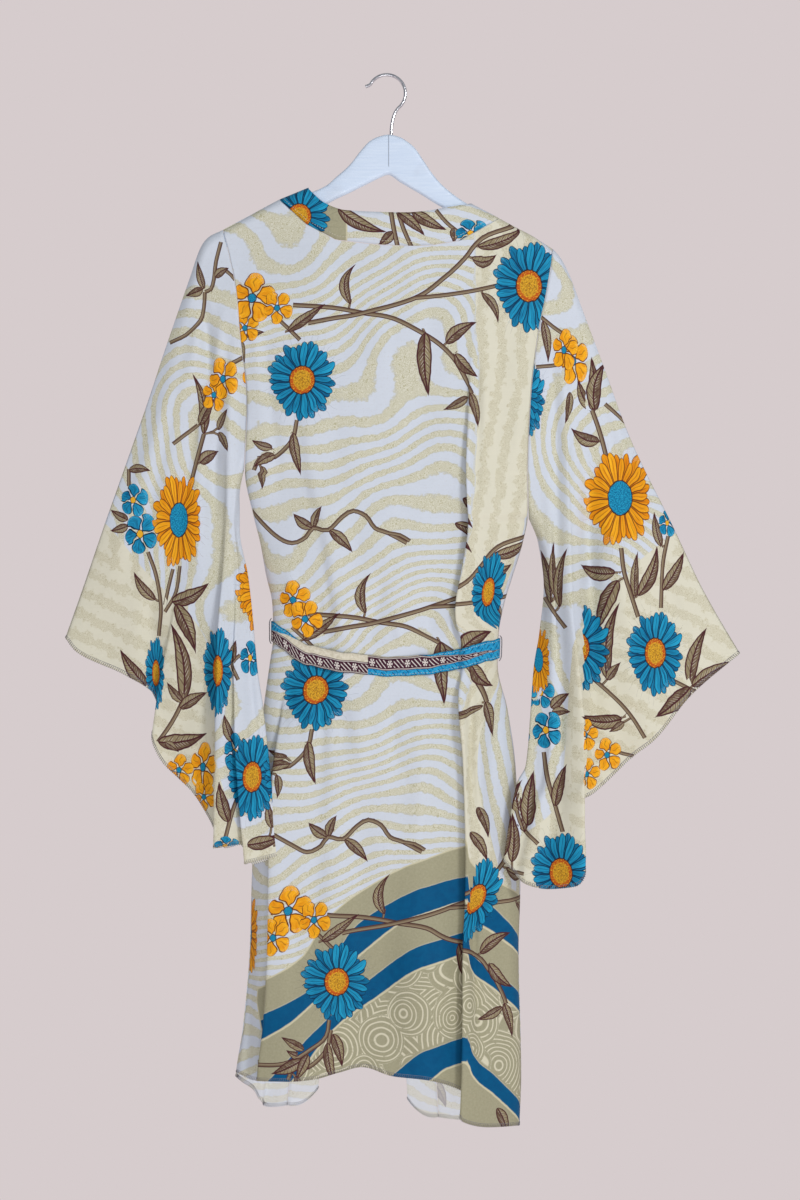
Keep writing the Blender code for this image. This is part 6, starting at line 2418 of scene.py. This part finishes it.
class ROBE_OT_stage(bpy.types.Operator):
    """Set up the camera, the pale backdrop and floor, and the soft lights"""

    bl_idname = "robe.stage"
    bl_label = "Studio"

    def execute(self, context):
        settings = context.scene.robe_stage
        scene = context.scene
        scene.view_settings.view_transform = "Standard"
        camera = bpy.data.cameras.new("camera")
        camera.lens = settings.lens
        camera.sensor_width = 36
        view = placed("camera", camera)
        view.location = (VIEW_X * MM, -VIEW_DISTANCE * MM, VIEW_HEIGHT * MM)
        view.rotation_euler = (math.radians(90), 0, 0)
        scene.camera = view

        wall = finish(
            "backdrop", lambda tree: linear(0, 0, 0), 1.0,
            Specular_IOR_Level=0.0, Emission_Color=linear(214, 204, 205), Emission_Strength=1.0,
        )
        tree = wall.node_tree
        behind = term(tree, "ShaderNodeNewGeometry", {}, "Backfacing")
        join(tree, behind.flip(), tree.nodes["Principled BSDF"].inputs["Alpha"])
        mesh = bpy.data.meshes.new("studio_sweep")
        flat = [(side * SWEEP_HALF, run, height) for run, height in SWEEP for side in (-1, 1)]
        faces = [(2 * k, 2 * k + 1, 2 * k + 3, 2 * k + 2) for k in range(len(SWEEP) - 1)]
        mesh.from_pydata(flat, [], faces)
        mesh.materials.append(wall)
        mesh.shade_smooth()
        floor = placed("studio_sweep", mesh)

        world = bpy.data.worlds.new("soft light")
        world.use_nodes = True
        soft = world.node_tree.nodes["Background"].inputs
        soft["Color"].default_value = (0.94, 0.97, 1.0, 1)
        soft["Strength"].default_value = settings.world
        scene.world = world
        for name, place, size, power in (
            ("key light", (1.2, -2.3, 0.3), 0.6, settings.key),
            ("fill light", (0.1, -2.6, -1.6), 1.6, settings.fill),
        ):
            light = bpy.data.lights.new(name, "AREA")
            light.shape = "DISK"
            light.size = size
            light.energy = power
            lamp = placed(name, light)
            lamp.location = place
            lamp.rotation_euler = (Vector(LIGHTS_AIM) - Vector(place)).to_track_quat("-Z", "Y").to_euler()
        return {"FINISHED"}


class ROBE_PT_panel(bpy.types.Panel):
    """The robe's pieces in the sidebar"""

    bl_label = "Robe"
    bl_idname = "ROBE_PT_panel"
    bl_space_type = "VIEW_3D"
    bl_region_type = "UI"
    bl_category = "Robe"

    def draw(self, context):
        for operator in OPERATORS:
            self.layout.operator(operator.bl_idname)
        for name in SETTINGS:
            settings = getattr(context.scene, name)
            for label in settings.bl_rna.properties.keys():
                if label not in ("rna_type", "name"):
                    self.layout.prop(settings, label)


SETTINGS = {
    "robe_cloth": RobeCloth,
    "robe_belt": RobeBelt,
    "robe_sewing": RobeSewing,
    "robe_hanger": RobeHanger,
    "robe_stage": RobeStage,
}
OPERATORS = (
    ROBE_OT_back,
    ROBE_OT_fronts,
    ROBE_OT_sleeves,
    ROBE_OT_neckband,
    ROBE_OT_belt,
    ROBE_OT_loops,
    ROBE_OT_hanger,
    ROBE_OT_sewing,
    ROBE_OT_cuts,
    ROBE_OT_stage,
)


def register():
    for name, group in SETTINGS.items():
        bpy.utils.register_class(group)
        setattr(bpy.types.Scene, name, PointerProperty(type=group))
    for operator in OPERATORS:
        bpy.utils.register_class(operator)
    bpy.utils.register_class(ROBE_PT_panel)


def unregister():
    bpy.utils.unregister_class(ROBE_PT_panel)
    for operator in reversed(OPERATORS):
        bpy.utils.unregister_class(operator)
    for name, group in reversed(SETTINGS.items()):
        delattr(bpy.types.Scene, name)
        bpy.utils.unregister_class(group)


def main():
    register()
    bpy.ops.robe.back()
    bpy.ops.robe.fronts()
    bpy.ops.robe.sleeves()
    bpy.ops.robe.neckband()
    bpy.ops.robe.belt()
    bpy.ops.robe.loops()
    bpy.ops.robe.hanger()
    bpy.ops.robe.sewing()
    bpy.ops.robe.cuts()
    bpy.ops.robe.stage()


if __name__ == "__main__":
    main()
